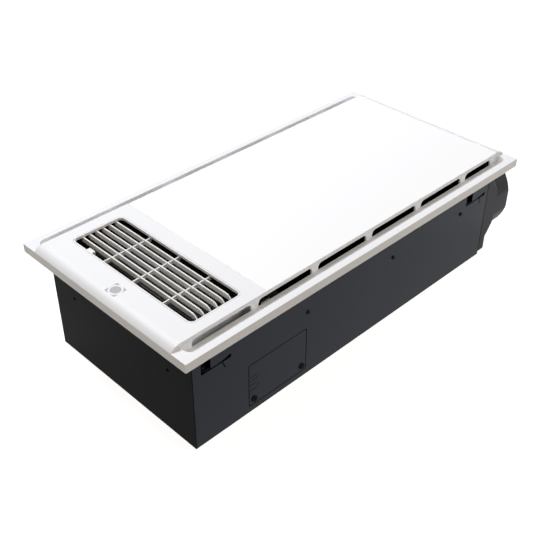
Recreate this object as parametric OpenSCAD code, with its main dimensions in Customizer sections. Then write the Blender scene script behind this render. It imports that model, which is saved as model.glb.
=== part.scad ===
// Ceiling bathroom heater with a lit panel, lying on its back with the panel up.
// The origin lies on the flat back face under the panel's centre. +Z points out of
// the panel, +X to the duct end, and -Y to the long side with the wiring cover.

/* [Panel] */
// Length of the panel
panel_len = 600; // [598:1:640]
// Width of the panel
panel_wid = 300; // [298:1:330]
// Height of the panel's edge
rim_t = 11; // [10:0.5:14]
// Flat land along the long edges
rim_land = 9.6; // [8:0.2:11]
// Width of the air channel beside the cover
channel_w = 14.4; // [12:0.2:15]
// Depth of the air channel
channel_d = 8; // [7:0.5:9]
// Distance from the panel's end to the channel's end
channel_end = 13.2; // [13:0.2:18]
// Corner radius of the channel's outer corners in plan
channel_r = 9; // [4:1:12]
// Wall of the panel's moulding
shell_t = 2.4; // [2:0.1:2.8]
// Drop of the edge that the ceiling bears on
rim_lip = 0.8; // [0.5:0.1:1]
// Height of the cover above the rim
cover_rise = 6; // [5:0.5:9]
// Length of the cover's rolled ends
roll_len = 14; // [12:1:16]
// Thickness of the panel's floor around the box
floor_t = 2.5; // [2:0.1:2.9]

/* [Air slots] */
// Length of a side slot
slot_len = 86; // [60:1:100]
// Bar between two slots
slot_bar = 10.6; // [8:0.2:16]
// Distance from the channel's end to the first slot
slot_inset = 15.8; // [12:0.2:18]
// Height of a side slot above the channel's floor
slot_h = 8.8; // [7:0.2:8.8]
// Radius of a slot's upper corners
slot_r = 6; // [2:0.5:6.5]

/* [Outlet grille] */
// Distance from the panel's near end to the grille
grille_inset = 41.1; // [41.1:0.1:43]
// Size of the grille along the panel
grille_len = 75.3; // [73:0.1:75.6]
// Distance from the panel's long edges to the grille
grille_side = 40; // [39.5:0.5:50]
// Corner radius of the grille
grille_r = 8; // [5:0.5:12]
// Width of the grille's ring
ring_t = 1.8; // [1.6:0.1:2.2]
// Seam around the grille
grille_seam = 0.4; // [0.15:0.05:0.5]
// Number of long blades
blade_n = 6; // [2:1:6]
// Spacing of the blades
blade_pitch = 9.85; // [8:0.05:9.95]
// Thickness of a blade
blade_t = 1.8; // [1.4:0.1:2.4]
// Depth of a blade
blade_d = 6.5; // [6:0.1:8]
// Drop of the blades below the panel's top
blade_drop = 3.2; // [0:0.1:3.4]
// Shift of the blades along the panel from the grille's middle
blade_shift = 3.2; // [0:0.1:3.6]
// Radius of a blade's rounded end
blade_end = 11; // [8:0.5:12]
// Distance of the blades' rounded ends from the ring
blade_set = 5.2; // [3:0.1:6]
// Height of the foot that joins a rounded end to the ring
blade_foot = 2; // [1.2:0.1:3]
// Number of cross ribs
rib_n = 3; // [1:1:3]
// Spacing of the cross ribs
rib_pitch = 54.2; // [45:0.2:54.8]
// Drop of the cross ribs below the blades
rib_drop = 1.5; // [1:0.5:3]
// Thickness of a cross rib
rib_t = 1.6; // [1.2:0.1:2.2]
// Width of the white latch tab
latch_w = 10.5; // [6:0.5:12]
// Distance of the latch's middle from the grille's far side
latch_inset = 31.5; // [24:0.5:40]
// Distance that the latch stands out past the ring
latch_out = 7.1; // [4:0.1:7.4]
// Travel of the latch
latch_travel = 9.3; // [9.3:0.1:13]

/* [Light] */
// Distance from the panel's near end to the diffuser
light_inset = 138.5; // [138:0.5:142]
// Distance from the panel's far end to the diffuser
light_end = 14; // [13:0.5:16]
// Thickness of the diffuser
diffuser_t = 2; // [1.6:0.1:2.2]
// Distance from the panel's long edges to the light tray
tray_side = 46; // [42:1:55]
// Depth of the light tray under the panel's floor top
tray_d = 9.5; // [7:0.5:16]
// Thickness of the tray's sheet
tray_t = 1; // [0.8:0.1:1.4]
// Length of the light's driver
driver_len = 150; // [120:5:200]
// Width of the driver
driver_w = 42; // [30:1:50]
// Height of the driver
driver_h = 24; // [18:1:28]
// Length of the driver's fixing ears
driver_ear = 10; // [8:1:14]
// Number of light strips
strip_n = 5; // [3:1:6]
// Width of a light strip
strip_w = 16; // [12:1:20]
// Chips on a strip
chip_n = 12; // [6:1:16]

/* [Receiver] */
// Diameter of the receiver window
window_d = 12.8; // [10:0.2:13]
// Side of the square that the corner lights mark out
mark_side = 17.5; // [17:0.5:19]
// Distance of the receiver from the panel's near end
mark_inset = 20.4; // [20:0.2:21]
// Offset of the receiver from the centre line
mark_y = -7.3; // [-20:0.1:20]

/* [Box] */
// Distance from the panel's near end to the box
box_inset = 22; // [18:1:23]
// Distance from the panel's far end to the box
box_end = 30; // [28:1:32]
// Distance from the panel's long edges to the box
box_side = 19.5; // [17:0.5:20]
// Depth of the box
body_depth = 145; // [135:1:165]
// Thickness of the sheet metal
sheet_t = 1.2; // [0.8:0.1:1.5]
// Seam between the box and the duct adapter
end_seam = 1.1; // [0.3:0.1:1.3]
// Depth of the row of side screws below the panel
screw_drop = 48; // [46:0.5:50]
// Distance of the first side screw from the panel's near end
near_screw = 203.5; // [200:0.5:206]
// Distances of the other side screws from the panel's far end
far_screws = [238, 92.3];
// Distance of the near end's two holes from the centre line
end_hole_y = 88.5; // [60:0.5:100]
// Depth of the near end's holes below the panel
end_hole_drop = 50.7; // [45:0.1:55]
// Radius of the near end's holes
end_hole_r = 2.2; // [1.8:0.1:2.6]
// Radius of a body screw's shank
screw_r = 1.6; // [1.4:0.1:1.8]
// Radius of a body screw's head
head_r = 2.7; // [2.4:0.1:3.2]
// Height of a body screw's head
head_h = 1.5; // [1.2:0.1:1.8]
// Distances of the panel's clips from its near end
clip_insets = [213.7, 404.6];
// Depth of a clip's catch below the panel
clip_drop = 26; // [22:1:30]

/* [Ceiling lugs] */
// Width of a lug
lug_w = 12; // [10:0.5:12.5]
// Length of a lug from its pivot
lug_reach = 35; // [25:1:36]
// Thickness of a lug
lug_t = 1.2; // [1:0.1:1.5]
// Depth of a lug below the panel
lug_drop = 38.8; // [34:0.2:42]
// Distance of the first lug's pivot from the panel's near end
lug_inset = 42; // [41:0.5:44]
// Distance of the second lug's pivot from the panel's far end
lug_end = 75.3; // [72:0.1:80]
// Radius of a lug's screw
lug_screw_r = 2; // [1.5:0.1:2.5]

/* [Wiring cover] */
// Distance from the panel's near end to the wiring cover
wire_inset = 105.5; // [104:0.5:107]
// Length of the wiring cover
wire_len = 95; // [90:1:98]
// Height of the wiring cover
wire_h = 63; // [58:1:68]
// Depth of the room behind the wiring cover
wire_room = 32; // [28:1:34]
// Lower edge of the wiring cover above the back face
wire_z = 10; // [8:0.5:12]
// Heights of the two knock-outs above the cover's lower edge
knock_z = [38, 23.4];
// Widths of the knock-outs
knock_w = [6, 9.2];
// Lengths of the knock-outs from the cover's near edge
knock_len = [13, 15];
// Distance from the cover's near edge to the terminals
block_inset = 28.5; // [28:0.5:31]
// Length of the row of terminals
block_len = 60; // [48:2:62]
// Width of the terminals
block_w = 14; // [10:1:16]
// Height of the terminals
block_h = 18; // [14:1:22]
// Gap between the wiring's box and the control tray
ctrl_gap = 8; // [6:0.5:10]
// Width of the control tray
ctrl_w = 68; // [60:1:70]
// Height of the control tray
ctrl_h = 30; // [24:1:40]
// Groove around the wiring cover
wire_gap = 1; // [0.4:0.1:1.2]

/* [Duct] */
// Half of what the duct spigot's diameter is less than the box's depth
spigot_edge = 4.4; // [3:0.1:6]
// Wall of the duct spigot
spigot_wall = 2.5; // [2:0.1:3]
// Length of the duct spigot
spigot_len = 31.4; // [26:0.2:45]
// Depth of the flat that the near long side leaves on the spigot
spigot_flat = 1.3; // [0:0.1:1.4]
// Drop of the spigot's middle below the box's middle
spigot_drop = 1.5; // [0:0.1:2.5]
// Thickness of the adapter's base
adapter_t = 12; // [10:0.5:14]
// Distance of the adapter's screws from its edges
adapter_screw = 11; // [9:0.5:12]
// Length of the flare between base and spigot
flare_len = 15; // [10:1:20]
// Widening of the flare at its base
flare_rise = 14; // [8:1:18]
// Widening of the flare at the spigot
flare_step = 3; // [1:0.5:5]
// Wall of the sleeve inside the adapter's pan
sleeve_t = 1.5; // [1.2:0.1:1.8]
// Thickness of a backdraft flap
flap_t = 1.2; // [1:0.1:1.6]
// Radius of the flaps' pin
pin_r = 2.5; // [2:0.1:3]

/* [Fan] */
// Distance of the fan from the box's far end
fan_end = 145; // [144:1:147]
// Radius of the fan wheel
wheel_r = 76; // [70:1:78]
// Height of the scroll less that of the fan wheel
wheel_gap = 10; // [9:1:20]
// Number of blades on the wheel
wheel_n = 36; // [24:1:44]
// Depth of a wheel blade
wheel_blade = 12; // [8:1:14]
// Height of the scroll's floor above the back face
scroll_z = 20; // [18:0.5:22]
// Height of the room between the scroll and the panel
scroll_room = 55; // [54:1:57]
// Narrowest radius of the scroll
scroll_r0 = 84; // [83:0.5:86]
// Distance from the scroll's widest point to the box's long side
scroll_side = 12.5; // [9.5:0.5:20]
// Wall of the scroll and the outlet duct
plastic_t = 2; // [1.6:0.1:2.4]
// Radius of the fan's inlet
inlet_r = 62; // [54:1:63]
// Radius of the motor
motor_r = 39; // [32:1:40]
// Height of the motor's can
motor_h = 36; // [28:1:37]
// Radius of the motor's shaft
shaft_r = 4; // [3:0.5:5]
// Length of the run capacitor
cap_len = 38; // [30:1:42]
// Width of the capacitor
cap_w = 26; // [18:1:28]
// Height of the capacitor
cap_h = 28.8; // [20:0.2:32]
// Distance of the capacitor from the box's far end
cap_gap = 8; // [6:0.5:12]
// Width and height of a capacitor's tab
cap_tab = 6; // [4:0.5:8]
// Radius of a damper's shaft
damper_r = 3; // [2.5:0.25:3.5]

/* [Heater] */
// Depth of the heater's ledge below the panel
core_drop = 33; // [31:1:40]
// Height of the heater's frame
core_h = 26; // [22:1:30]
// Number of flat tubes in the heater
tube_n = 5; // [3:1:6]
// Spacing of the heater's fins
fin_pitch = 6; // [4:0.5:10]

/* [Hidden] */
$fn = 96;
// clearance of a turning or sliding piece, and of a running shaft
clear = 0.3;
run = 0.05;
// small overlap that lets a cut pass a face
eps = 0.5;

// heights of the panel, from the back face
floor_z = body_depth;
rim_z = floor_z + rim_t;
top_z = rim_z + cover_rise;
under_z = top_z - shell_t;
chan_z = rim_z - channel_d;
// half sizes of the panel
half_l = panel_len / 2;
half_w = panel_wid / 2;
cover_y = half_w - rim_land - channel_w;
inner_y = cover_y - shell_t;
// places along the panel
light_x0 = -half_l + light_inset;
light_x1 = half_l - light_end;
grille_x0 = -half_l + grille_inset;
grille_x1 = grille_x0 + grille_len;
grille_y = -1;
grille_wid = panel_wid - 2 * grille_side;
latch_y = grille_y + grille_wid / 2 - latch_inset;
tray_wid = panel_wid - 2 * tray_side;
ring_h = 3.6;
ring_lip = 2.5;
mark_x = -half_l + mark_inset;
// the panel's skirt around the outlet duct
skirt_x0 = grille_x0 - 9.6;
skirt_x1 = grille_x1 + 4.8;
skirt_y = grille_wid / 2 + 7;
skirt_t = 2;
skirt_drop = 8;
// the blades' middle, and the near face of the first one
mid_x = grille_x0 + grille_len / 2;
blade_x0 = mid_x - (blade_n - 1) / 2 * blade_pitch - blade_t / 2 + blade_shift;
// the outlet duct's plenum fits inside the skirt
plen_x0 = skirt_x0 + skirt_t + clear;
plen_x1 = skirt_x1 - skirt_t - clear;
plen_y = skirt_y - skirt_t - clear;
plen_top = top_z - ring_h - 0.5;
// the box
body_wid = panel_wid - 2 * box_side;
body_near = half_l - box_inset;
body_far = half_l - box_end;
side_screws = [near_screw - half_l, half_l - far_screws[0], half_l - far_screws[1]];
screw_z = floor_z - screw_drop;
end_hole_z = floor_z - end_hole_drop;
wire_x = wire_inset - half_l;
lug_x = [lug_inset - half_l, half_l - lug_end];
lug_z = floor_z - lug_drop;
half_b = body_wid / 2;
near_in = -body_near + sheet_t;
shell_x1 = body_far - end_seam;
side_in = half_b - sheet_t;
far_in = body_far - sheet_t;
// the scroll
fan_x = body_far - fan_end;
scroll_h = floor_z - scroll_room - scroll_z;
scroll_r1 = half_b - scroll_side;
wheel_h = scroll_h - wheel_gap;
scroll_top = scroll_z + scroll_h;
tongue_a = 35;
tongue_y = scroll_r0 * sin(tongue_a);
throat_x = fan_x - 100;
wheel_z = scroll_z + plastic_t + 4;
wheel_top = wheel_z + wheel_h;
// the duct adapter and its flaps
spigot_r = body_depth / 2 - spigot_edge;
spigot_y = -half_b + spigot_r - spigot_flat;
spigot_z = body_depth / 2 - spigot_drop;
bore_r = spigot_r - spigot_wall;
base_x1 = body_far + adapter_t;
flare_x1 = base_x1 + flare_len;
duct_x1 = flare_x1 + spigot_len;
flap_x = flare_x1 + 6;
flap_r = bore_r - 0.8;
knuckle_r = pin_r + 2;
// the dampers
damper_x = 91;
damper_y = tongue_y + 2.3 + damper_r;
damper_len = scroll_r1 - damper_y - 0.7;
damper_motor_h = 20;
// the lugs
window_x0 = 7;
window_x1 = 7;
// the heater
core_z = floor_z - core_drop;
// the motor on its plate
plate_z = 8;
plate_t = 2;
mount_r = motor_r + 11;
motor_z = plate_z + plate_t;
motor_top = motor_z + motor_h;
boss_h = 3;

// Box from its lowest corner to its highest
module span(a, b) {
    translate(a)
        cube([b[0] - a[0], b[1] - a[1], b[2] - a[2]]);
}

// Rectangle with four rounded corners, from its lowest corner
module round_rect(w, h, r) {
    translate([r, 0])
        square([w - 2 * r, h]);
    translate([0, r])
        square([w, h - 2 * r]);
    for (x = [r, w - r], y = [r, h - r])
        translate([x, y])
            circle(r);
}

// Rectangle whose upper two corners are rounded
module arch_rect(w, h, r) {
    square([w, h - r]);
    translate([r, 0])
        square([w - 2 * r, h]);
    intersection() {
        square([w, h]);
        for (x = [r, w - r])
            translate([x, h - r])
                circle(r);
    }
}

// Turns a shape drawn in X and Z into a plate that is t thick along Y
module across(y, t) {
    translate([0, y + t, 0])
        rotate([90, 0, 0])
            linear_extrude(t)
                children();
}

// Cylinder along X from x0 to x1
module rod_x(x0, x1, y, z, r) {
    translate([x0, y, z])
        rotate([0, 90, 0])
            cylinder(h = x1 - x0, r = r);
}

// Cylinder along Y from y0 to y1
module rod_y(y0, y1, x, z, r) {
    translate([x, y1, z])
        rotate([90, 0, 0])
            cylinder(h = y1 - y0, r = r);
}

// Side profile of the cover: flat, with an arc at each end that falls to the rim
roll_a = 2 * atan(cover_rise / roll_len);
roll_r = roll_len / sin(roll_a);
function roll_points(s) = [for (i = [16 : -1 : 0])
    let (a = roll_a * i / 16)
    [s * (half_l - roll_len + roll_r * sin(a)), top_z - roll_r * (1 - cos(a))]];

module cover_profile() {
    far = roll_points(1);
    near = roll_points(-1);
    polygon(concat([[half_l, floor_z]], far, [for (i = [len(near) - 1 : -1 : 0]) near[i]],
        [[-half_l, floor_z]]));
}

// Air channel in plan, with its outer corners rounded
module channel_plan() {
    w = panel_len - 2 * channel_end;
    translate([-w / 2, 0])
        mirror([0, 1])
            translate([0, -channel_w])
                mirror([0, 1])
                    translate([0, -channel_w])
                        arch_rect(w, channel_w, channel_r);
}

// Places of the side slots, each a start and an end along the panel
slot_x0 = -half_l + channel_end + slot_inset;
slot_x1 = -slot_x0;
function slot_start(i) = slot_x0 + i * (slot_len + slot_bar);
slots = [for (i = [0 : 1 : 12]) if (slot_start(i) < slot_x1 - 2 * slot_r - 4)
    [slot_start(i), min(slot_start(i) + slot_len, slot_x1)]];

wall_end = 10;

// Moulded panel: rim, side channels, slotted walls, rolled ends and the outlet's skirt
module panel_frame() {
    color("white")
    difference() {
        union() {
            difference() {
                union() {
                    span([-half_l, -half_w, floor_z], [half_l, half_w, rim_z]);
                    across(-cover_y, 2 * cover_y)
                        cover_profile();
                }
                // the room under the cover, low to the ends and high between the rolls
                span([-half_l + shell_t, -inner_y, floor_z + floor_t],
                    [half_l - shell_t, inner_y, rim_z - shell_t]);
                span([-half_l + roll_len - 5, -inner_y, floor_z + floor_t], [light_x1, inner_y, under_z]);
                // the opening over the box
                span([near_in + shell_t, -inner_y, floor_z - eps],
                    [far_in - shell_t, inner_y, floor_z + floor_t + eps]);
                // the light's opening, and the walls' lowered top under the diffuser
                span([light_x0, -inner_y, under_z - eps], [light_x1, inner_y, top_z + eps]);
                span([light_x0, -cover_y - eps, top_z - diffuser_t],
                    [light_x1, cover_y + eps, top_z + eps]);
                for (s = [0, 1])
                    mirror([0, s, 0]) {
                        // the hollow under the land
                        span([-half_l + shell_t, cover_y + channel_w + shell_t, floor_z - eps],
                            [half_l - shell_t, half_w - shell_t, rim_z - shell_t]);
                        // the air channel and its slots
                        translate([0, cover_y, chan_z])
                            linear_extrude(rim_t)
                                channel_plan();
                        for (p = slots) {
                            across(inner_y - eps, shell_t + 2 * eps)
                                translate([p[0], chan_z])
                                    arch_rect(p[1] - p[0], slot_h, min(slot_r, slot_h - 1));
                            // the floor stops at the wall's outer face under a slot
                            span([p[0], inner_y - eps, floor_z - eps], [p[1], cover_y, chan_z + 1]);
                        }
                    }
            }
            // cross member and wall between the outlet and the light
            span([light_x0 - 7, -inner_y - eps, floor_z], [light_x0 + 6, inner_y + eps, floor_z + floor_t]);
            span([light_x0 - shell_t, -inner_y + wall_end, floor_z],
                [light_x0, inner_y - wall_end, under_z + eps]);
            // skirt around the outlet
            difference() {
                span([skirt_x0, -skirt_y, floor_z - skirt_drop], [skirt_x1, skirt_y, under_z + eps]);
                span([skirt_x0 + skirt_t, -skirt_y + skirt_t, floor_z - skirt_drop - eps],
                    [skirt_x1 - skirt_t, skirt_y - skirt_t, under_z + 2 * eps]);
            }
            rim_edge();
            latch_rails();
            grille_hooks();
            receiver_posts();
        }
        // gap in the skirt for the latch
        span([skirt_x0 - eps, latch_y - latch_w / 2 - clear, latch_top - latch_t - clear],
            [skirt_x0 + skirt_t + eps, latch_y + latch_w / 2 + clear, under_z]);
        // the grille's opening
        translate([grille_x0 - grille_seam, grille_y - grille_wid / 2 - grille_seam, under_z - eps])
            linear_extrude(shell_t + 2 * eps)
                round_rect(grille_len + 2 * grille_seam, grille_wid + 2 * grille_seam,
                    grille_r + grille_seam);
        // the receiver's window and its corner lights
        translate([mark_x, mark_y, under_z - eps])
            cylinder(h = shell_t + 2 * eps, d = window_d + 0.2);
        translate([mark_x, mark_y, under_z - eps])
            linear_extrude(shell_t + 2 * eps)
                mark_corners(0.1);
    }
}

// Lower edge of the rim that bears on the ceiling, left out over the duct
module rim_edge() {
    z = floor_z - rim_lip;
    difference() {
        span([-half_l, -half_w, z], [half_l, half_w, floor_z + eps]);
        span([-half_l + shell_t, -half_w + shell_t, z - eps],
            [half_l - shell_t, half_w - shell_t, floor_z + 2 * eps]);
        span([half_l - shell_t - eps, -half_b, z - eps], [half_l + eps, spigot_y + spigot_r + 4, floor_z]);
    }
}

// Four corners of a square outside a circle, grown by g
module mark_corners(g) {
    difference() {
        square(mark_side + 2 * g, center = true);
        circle(d = window_d + 5.4 - 2 * g);
    }
}

latch_x1 = grille_x0 + ring_t + latch_out;
latch_x0 = skirt_x0 - 4;
latch_top = under_z - clear;
latch_t = 1.8;
rail_x0 = latch_x0 - latch_travel;
rail_x1 = skirt_x0 - 0.5;

// Two rails that carry the latch under the cover
module latch_rails() {
    z0 = latch_top - latch_t - clear;
    for (s = [0, 1])
        translate([0, latch_y, 0])
            mirror([0, s, 0]) {
                span([rail_x0, latch_w / 2 + clear, z0 - 1],
                    [rail_x1, latch_w / 2 + clear + 2, under_z + eps]);
                span([rail_x0, latch_w / 2 - 2, z0 - 1], [rail_x1, latch_w / 2 + clear + 2, z0]);
            }
}

hook_y = [grille_y - grille_wid / 4, grille_y + grille_wid / 4];
hook_w = 10;
hook_top = top_z - ring_h - clear;
hook_t = 2.4;

// Two fixed hooks under the grille's far edge
module grille_hooks() {
    for (y = hook_y)
        span([grille_x1 + ring_lip - 1.2, y - hook_w / 2, hook_top - hook_t],
            [skirt_x1 - skirt_t + eps, y + hook_w / 2, hook_top]);
}

board_z = under_z - 9.6;
board_t = 1.6;

// Posts that carry the receiver's board
module receiver_posts() {
    for (x = [-9.9, 7.1], y = [-14.2, 14.8])
        translate([mark_x + x, mark_y + y, board_z + board_t])
            cylinder(h = under_z + eps - board_z - board_t, r = 2.5, $fn = 32);
}

// Grille insert: ring, and under it long blades with rounded near ends and cross ribs
module outlet_grille() {
    y0 = grille_y - grille_wid / 2;
    y1 = y0 + grille_wid;
    mid_y = grille_y - 1.8;
    ring_z = top_z - ring_h;
    blade_top = top_z - blade_drop;
    blade_z = blade_top - blade_d;
    color("whitesmoke")
    difference() {
        union() {
            difference() {
                union() {
                    translate([grille_x0, y0, ring_z])
                        linear_extrude(ring_h)
                            round_rect(grille_len, grille_wid, grille_r);
                    translate([grille_x0 - ring_lip, y0 - ring_lip, ring_z])
                        linear_extrude(under_z - ring_z)
                            round_rect(grille_len + 2 * ring_lip, grille_wid + 2 * ring_lip,
                                grille_r + ring_lip);
                }
                translate([grille_x0 + ring_t, y0 + ring_t, ring_z - eps])
                    linear_extrude(ring_h + 2 * eps)
                        round_rect(grille_len - 2 * ring_t, grille_wid - 2 * ring_t, grille_r - ring_t);
            }
            // end wall that the blades' feet meet
            span([grille_x0 + grille_r, y0, blade_z], [grille_x1 - grille_r, y0 + ring_t, ring_z + eps]);
            // blades
            for (i = [1 : blade_n])
                translate([blade_x0 + (i - 1) * blade_pitch, 0, 0])
                    rotate([90, 0, 90])
                        linear_extrude(blade_t)
                            blade_shape(y0 + ring_t, y1 + ring_lip / 2, blade_z);
            // cross ribs, each with a post under the ring at both ends
            for (j = [1 : rib_n])
                translate([0, mid_y + (j - (rib_n + 1) / 2) * rib_pitch, 0]) {
                    span([grille_x0, -rib_t / 2, blade_z], [grille_x1, rib_t / 2, blade_top - rib_drop]);
                    for (x = [grille_x0, grille_x1 - ring_t])
                        span([x, -rib_t / 2, blade_z], [x + ring_t, rib_t / 2, ring_z + eps]);
                }
        }
        // notch for the latch
        span([grille_x0 - ring_lip - eps, latch_y - latch_w / 2 - clear, ring_z - eps],
            [grille_x0 + ring_t + eps, latch_y + latch_w / 2 + clear, under_z]);
    }
}

// Side view of a blade, rounded down at the low end of Y, with a foot that runs into the end wall
module blade_shape(y0, y1, z0) {
    flat_y = y0 + blade_set + blade_end;
    intersection() {
        translate([flat_y, z0 + blade_d - blade_end])
            circle(blade_end);
        translate([y0 + blade_set, z0])
            square([blade_end, blade_d]);
    }
    translate([y0 - ring_t / 2, z0])
        square([flat_y - y0 + ring_t / 2, blade_foot]);
    translate([flat_y, z0])
        square([y1 - flat_y, blade_d]);
}

// White tab that slides back under the cover to free the grille
module grille_latch() {
    color("white")
    union() {
        span([latch_x0, latch_y - latch_w / 2, latch_top - latch_t],
            [latch_x1, latch_y + latch_w / 2, latch_top]);
        // thumb edge
        span([latch_x1 - 1.4, latch_y - latch_w / 2, latch_top - latch_t - 3],
            [latch_x1, latch_y + latch_w / 2, latch_top - latch_t + eps]);
    }
}

// Opal sheet with a short locating skirt
module light_diffuser() {
    g = 0.15;
    color("ghostwhite")
    union() {
        span([light_x0 + g, -cover_y, top_z - diffuser_t], [light_x1 - g, cover_y, top_z]);
        for (s = [0, 1])
            mirror([0, s, 0])
                span([light_x0 + 4, inner_y - 2, chan_z + slot_h + 0.4],
                    [light_x1 - 4, inner_y - 0.2, top_z - diffuser_t + eps]);
    }
}

tray_z = floor_z + floor_t - tray_d;
tray_x0 = light_x0 + 6 + clear;
tray_x1 = far_in - shell_t - 4;
tray_flange_z = floor_z + floor_t;

// Steel pan for the light strips, hung by flanges at its two ends
module light_tray() {
    y = tray_wid / 2;
    color("gainsboro")
    union() {
        difference() {
            span([tray_x0, -y, tray_z], [tray_x1, y, top_z - diffuser_t - 1.5]);
            span([tray_x0 + tray_t, -y + tray_t, tray_z + tray_t], [tray_x1 - tray_t, y - tray_t, top_z]);
        }
        span([light_x0 + 0.5, -y, tray_flange_z], [tray_x0 + eps, y, tray_flange_z + tray_t]);
        span([tray_x1 - eps, -y, tray_flange_z], [light_x1 - 3, y, tray_flange_z + tray_t]);
    }
}

// Light strips with their chips, one solid each
module led_strips() {
    len = tray_x1 - tray_x0 - 30;
    pitch = (tray_wid - 20) / strip_n;
    color("ivory")
    for (i = [0 : strip_n - 1])
        translate([tray_x0 + 15, (i - (strip_n - 1) / 2) * pitch - strip_w / 2, tray_z + tray_t]) {
            cube([len, strip_w, 1.6]);
            for (k = [0 : chip_n - 1])
                translate([(k + 0.5) * len / chip_n - 2, strip_w / 2 - 2, 1.6 - 0.2])
                    cube([4, 4, 1]);
        }
}

// Driver of the light, screwed under its tray
module led_driver() {
    color("silver")
    union() {
        translate([tray_x0 + 3 * driver_ear, -driver_w / 2, tray_z - driver_h])
            cube([driver_len, driver_w, driver_h]);
        // fixing ears
        translate([tray_x0 + 2 * driver_ear, -driver_w / 4, tray_z - 1.5])
            cube([driver_len + 2 * driver_ear, driver_w / 2, 1.5]);
    }
}

guide_t = 1.2;

// Grey window of the receiver, with its flange under the corner lights
module receiver_window() {
    color("silver")
    translate([mark_x, mark_y, 0])
        union() {
            translate([0, 0, under_z - guide_t - 1.2])
                cylinder(h = 1.2, r = window_d / 2 + 1);
            translate([0, 0, under_z - guide_t - 0.5])
                cylinder(h = top_z - under_z + guide_t + 0.5, d = window_d);
        }
}

// Clear plate whose four corners rise through the cover around the window
module corner_lights() {
    color("lightgrey")
    translate([mark_x, mark_y, 0])
        union() {
            translate([0, 0, under_z - guide_t])
                linear_extrude(guide_t)
                    difference() {
                        square(mark_side + 4, center = true);
                        circle(d = window_d + 0.4);
                    }
            translate([0, 0, under_z - 0.4])
                linear_extrude(top_z - under_z + 0.4)
                    mark_corners(0);
        }
}

// Board of the receiver with its sensor, under the window
module receiver_board() {
    color("darkgreen")
    translate([mark_x, mark_y, 0])
        union() {
            span([-12.4, -17, board_z], [9.6, 17.5, board_z + board_t]);
            span([-4, -4, board_z + board_t - 0.2], [4, 4, under_z - guide_t - 1.2]);
            span([-3, -13, board_z + board_t - 0.2], [3, -8, board_z + board_t + 2.5]);
        }
}

clip_x = [for (d = clip_insets) d - half_l];
clip_w = 8;
catch_z = floor_z - clip_drop;

// Spring leaves under the panel whose bumps snap into the box's windows
module panel_clips() {
    color("silver")
    for (s = [0, 1], x = clip_x)
        mirror([0, s, 0])
            union() {
                span([x - clip_w / 2, side_in - clear - 1, catch_z - 4],
                    [x + clip_w / 2, side_in - clear, floor_z]);
                translate([x - clip_w / 2 + 1, 0, 0])
                    rotate([90, 0, 90])
                        linear_extrude(clip_w - 2)
                            polygon([[side_in - clear - 0.5, catch_z], [half_b - 0.1, catch_z + 2.5],
                                [half_b - 0.1, catch_z + 4], [side_in - clear - 0.5, catch_z + 6.5]]);
            }
}

// Lug cut-outs in the long wall: window, slot, wedge and the small check-shaped slit
module lug_cuts(x) {
    z0 = lug_z - lug_t / 2 - 0.4;
    z1 = lug_z + lug_t / 2 + 0.4;
    tip = x + lug_reach + 1.5;
    square_h = floor_z - z0 + eps;
    translate([x - window_x0, z0])
        square([window_x0 + window_x1, square_h]);
    polygon([[x, z0], [tip, z0], [tip + 1, z1 + 2.6], [tip - 3, z1 + 3.1], [tip - 18, z1], [x, z1]]);
    // small slit under the slot
    polygon([[tip - 13, z0 + 0.2], [tip - 9.6, z0 - 9.4], [tip - 6.6, z0 - 8], [tip - 7.2, z0 - 7.2],
        [tip - 9, z0 - 8], [tip - 11.6, z0 + 0.2]]);
}

// Long folded sheet: back and two long sides
module housing_shell() {
    color("#26282b")
    difference() {
        span([near_in, -half_b, 0], [shell_x1, half_b, floor_z]);
        span([near_in - eps, -side_in, sheet_t], [shell_x1 + eps, side_in, floor_z + eps]);
        // lug cut-outs on the near side, and the same turned half round on the far side
        for (x = lug_x) {
            across(-half_b - eps, sheet_t + 2 * eps)
                lug_cuts(x);
            rotate([0, 0, 180])
                across(-half_b - eps, sheet_t + 2 * eps)
                    lug_cuts(x);
        }
        for (s = [0, 1])
            mirror([0, s, 0]) {
                // windows for the panel's clips
                for (x = clip_x)
                    span([x - clip_w / 2, side_in - eps, catch_z + 0.5],
                        [x + clip_w / 2, half_b + eps, catch_z + 7]);
                for (x = side_screws)
                    rod_y(side_in - eps, half_b + eps, x, screw_z, screw_r + 0.1);
            }
        // opening of the wiring cover
        across(-half_b - eps, sheet_t + 2 * eps)
            translate([wire_x - wire_gap, wire_z - wire_gap])
                round_rect(wire_len + 2 * wire_gap, wire_h + 2 * wire_gap, 3);
    }
}

flange_l = 10;

// Near end of the box, with flanges along the long sides
module near_end_plate() {
    color("#212325")
    difference() {
        union() {
            span([-body_near, -half_b, 0], [near_in, half_b, floor_z]);
            for (s = [0, 1])
                mirror([0, s, 0])
                    span([near_in - eps, side_in - sheet_t, sheet_t],
                        [near_in + flange_l, side_in, floor_z - 8]);
        }
        for (y = [-end_hole_y, end_hole_y])
            rod_x(-body_near - eps, near_in + eps, y, end_hole_z, end_hole_r);
    }
}

corner_y = [half_b - adapter_screw, spigot_y + spigot_r + adapter_screw + 1.3];
corner_z = [adapter_screw, body_depth - adapter_screw - 2];
corner_screws = [for (y = corner_y, z = corner_z) [y, z]];

// Far end of the box, with the opening of the scroll's exhaust throat
module far_end_plate() {
    color("#26282b")
    difference() {
        union() {
            span([far_in, -side_in, sheet_t], [body_far, side_in, floor_z]);
            for (s = [0, 1])
                mirror([0, s, 0])
                    span([far_in - flange_l, side_in - sheet_t, sheet_t],
                        [far_in + eps, side_in, ear_lo - 3]);
        }
        span([far_in - eps, -scroll_r1, scroll_z + plastic_t], [body_far + eps, -tongue_y, scroll_top]);
        for (p = corner_screws)
            rod_x(far_in - eps, body_far + eps, p[0], p[1], screw_r + run);
    }
}

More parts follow.
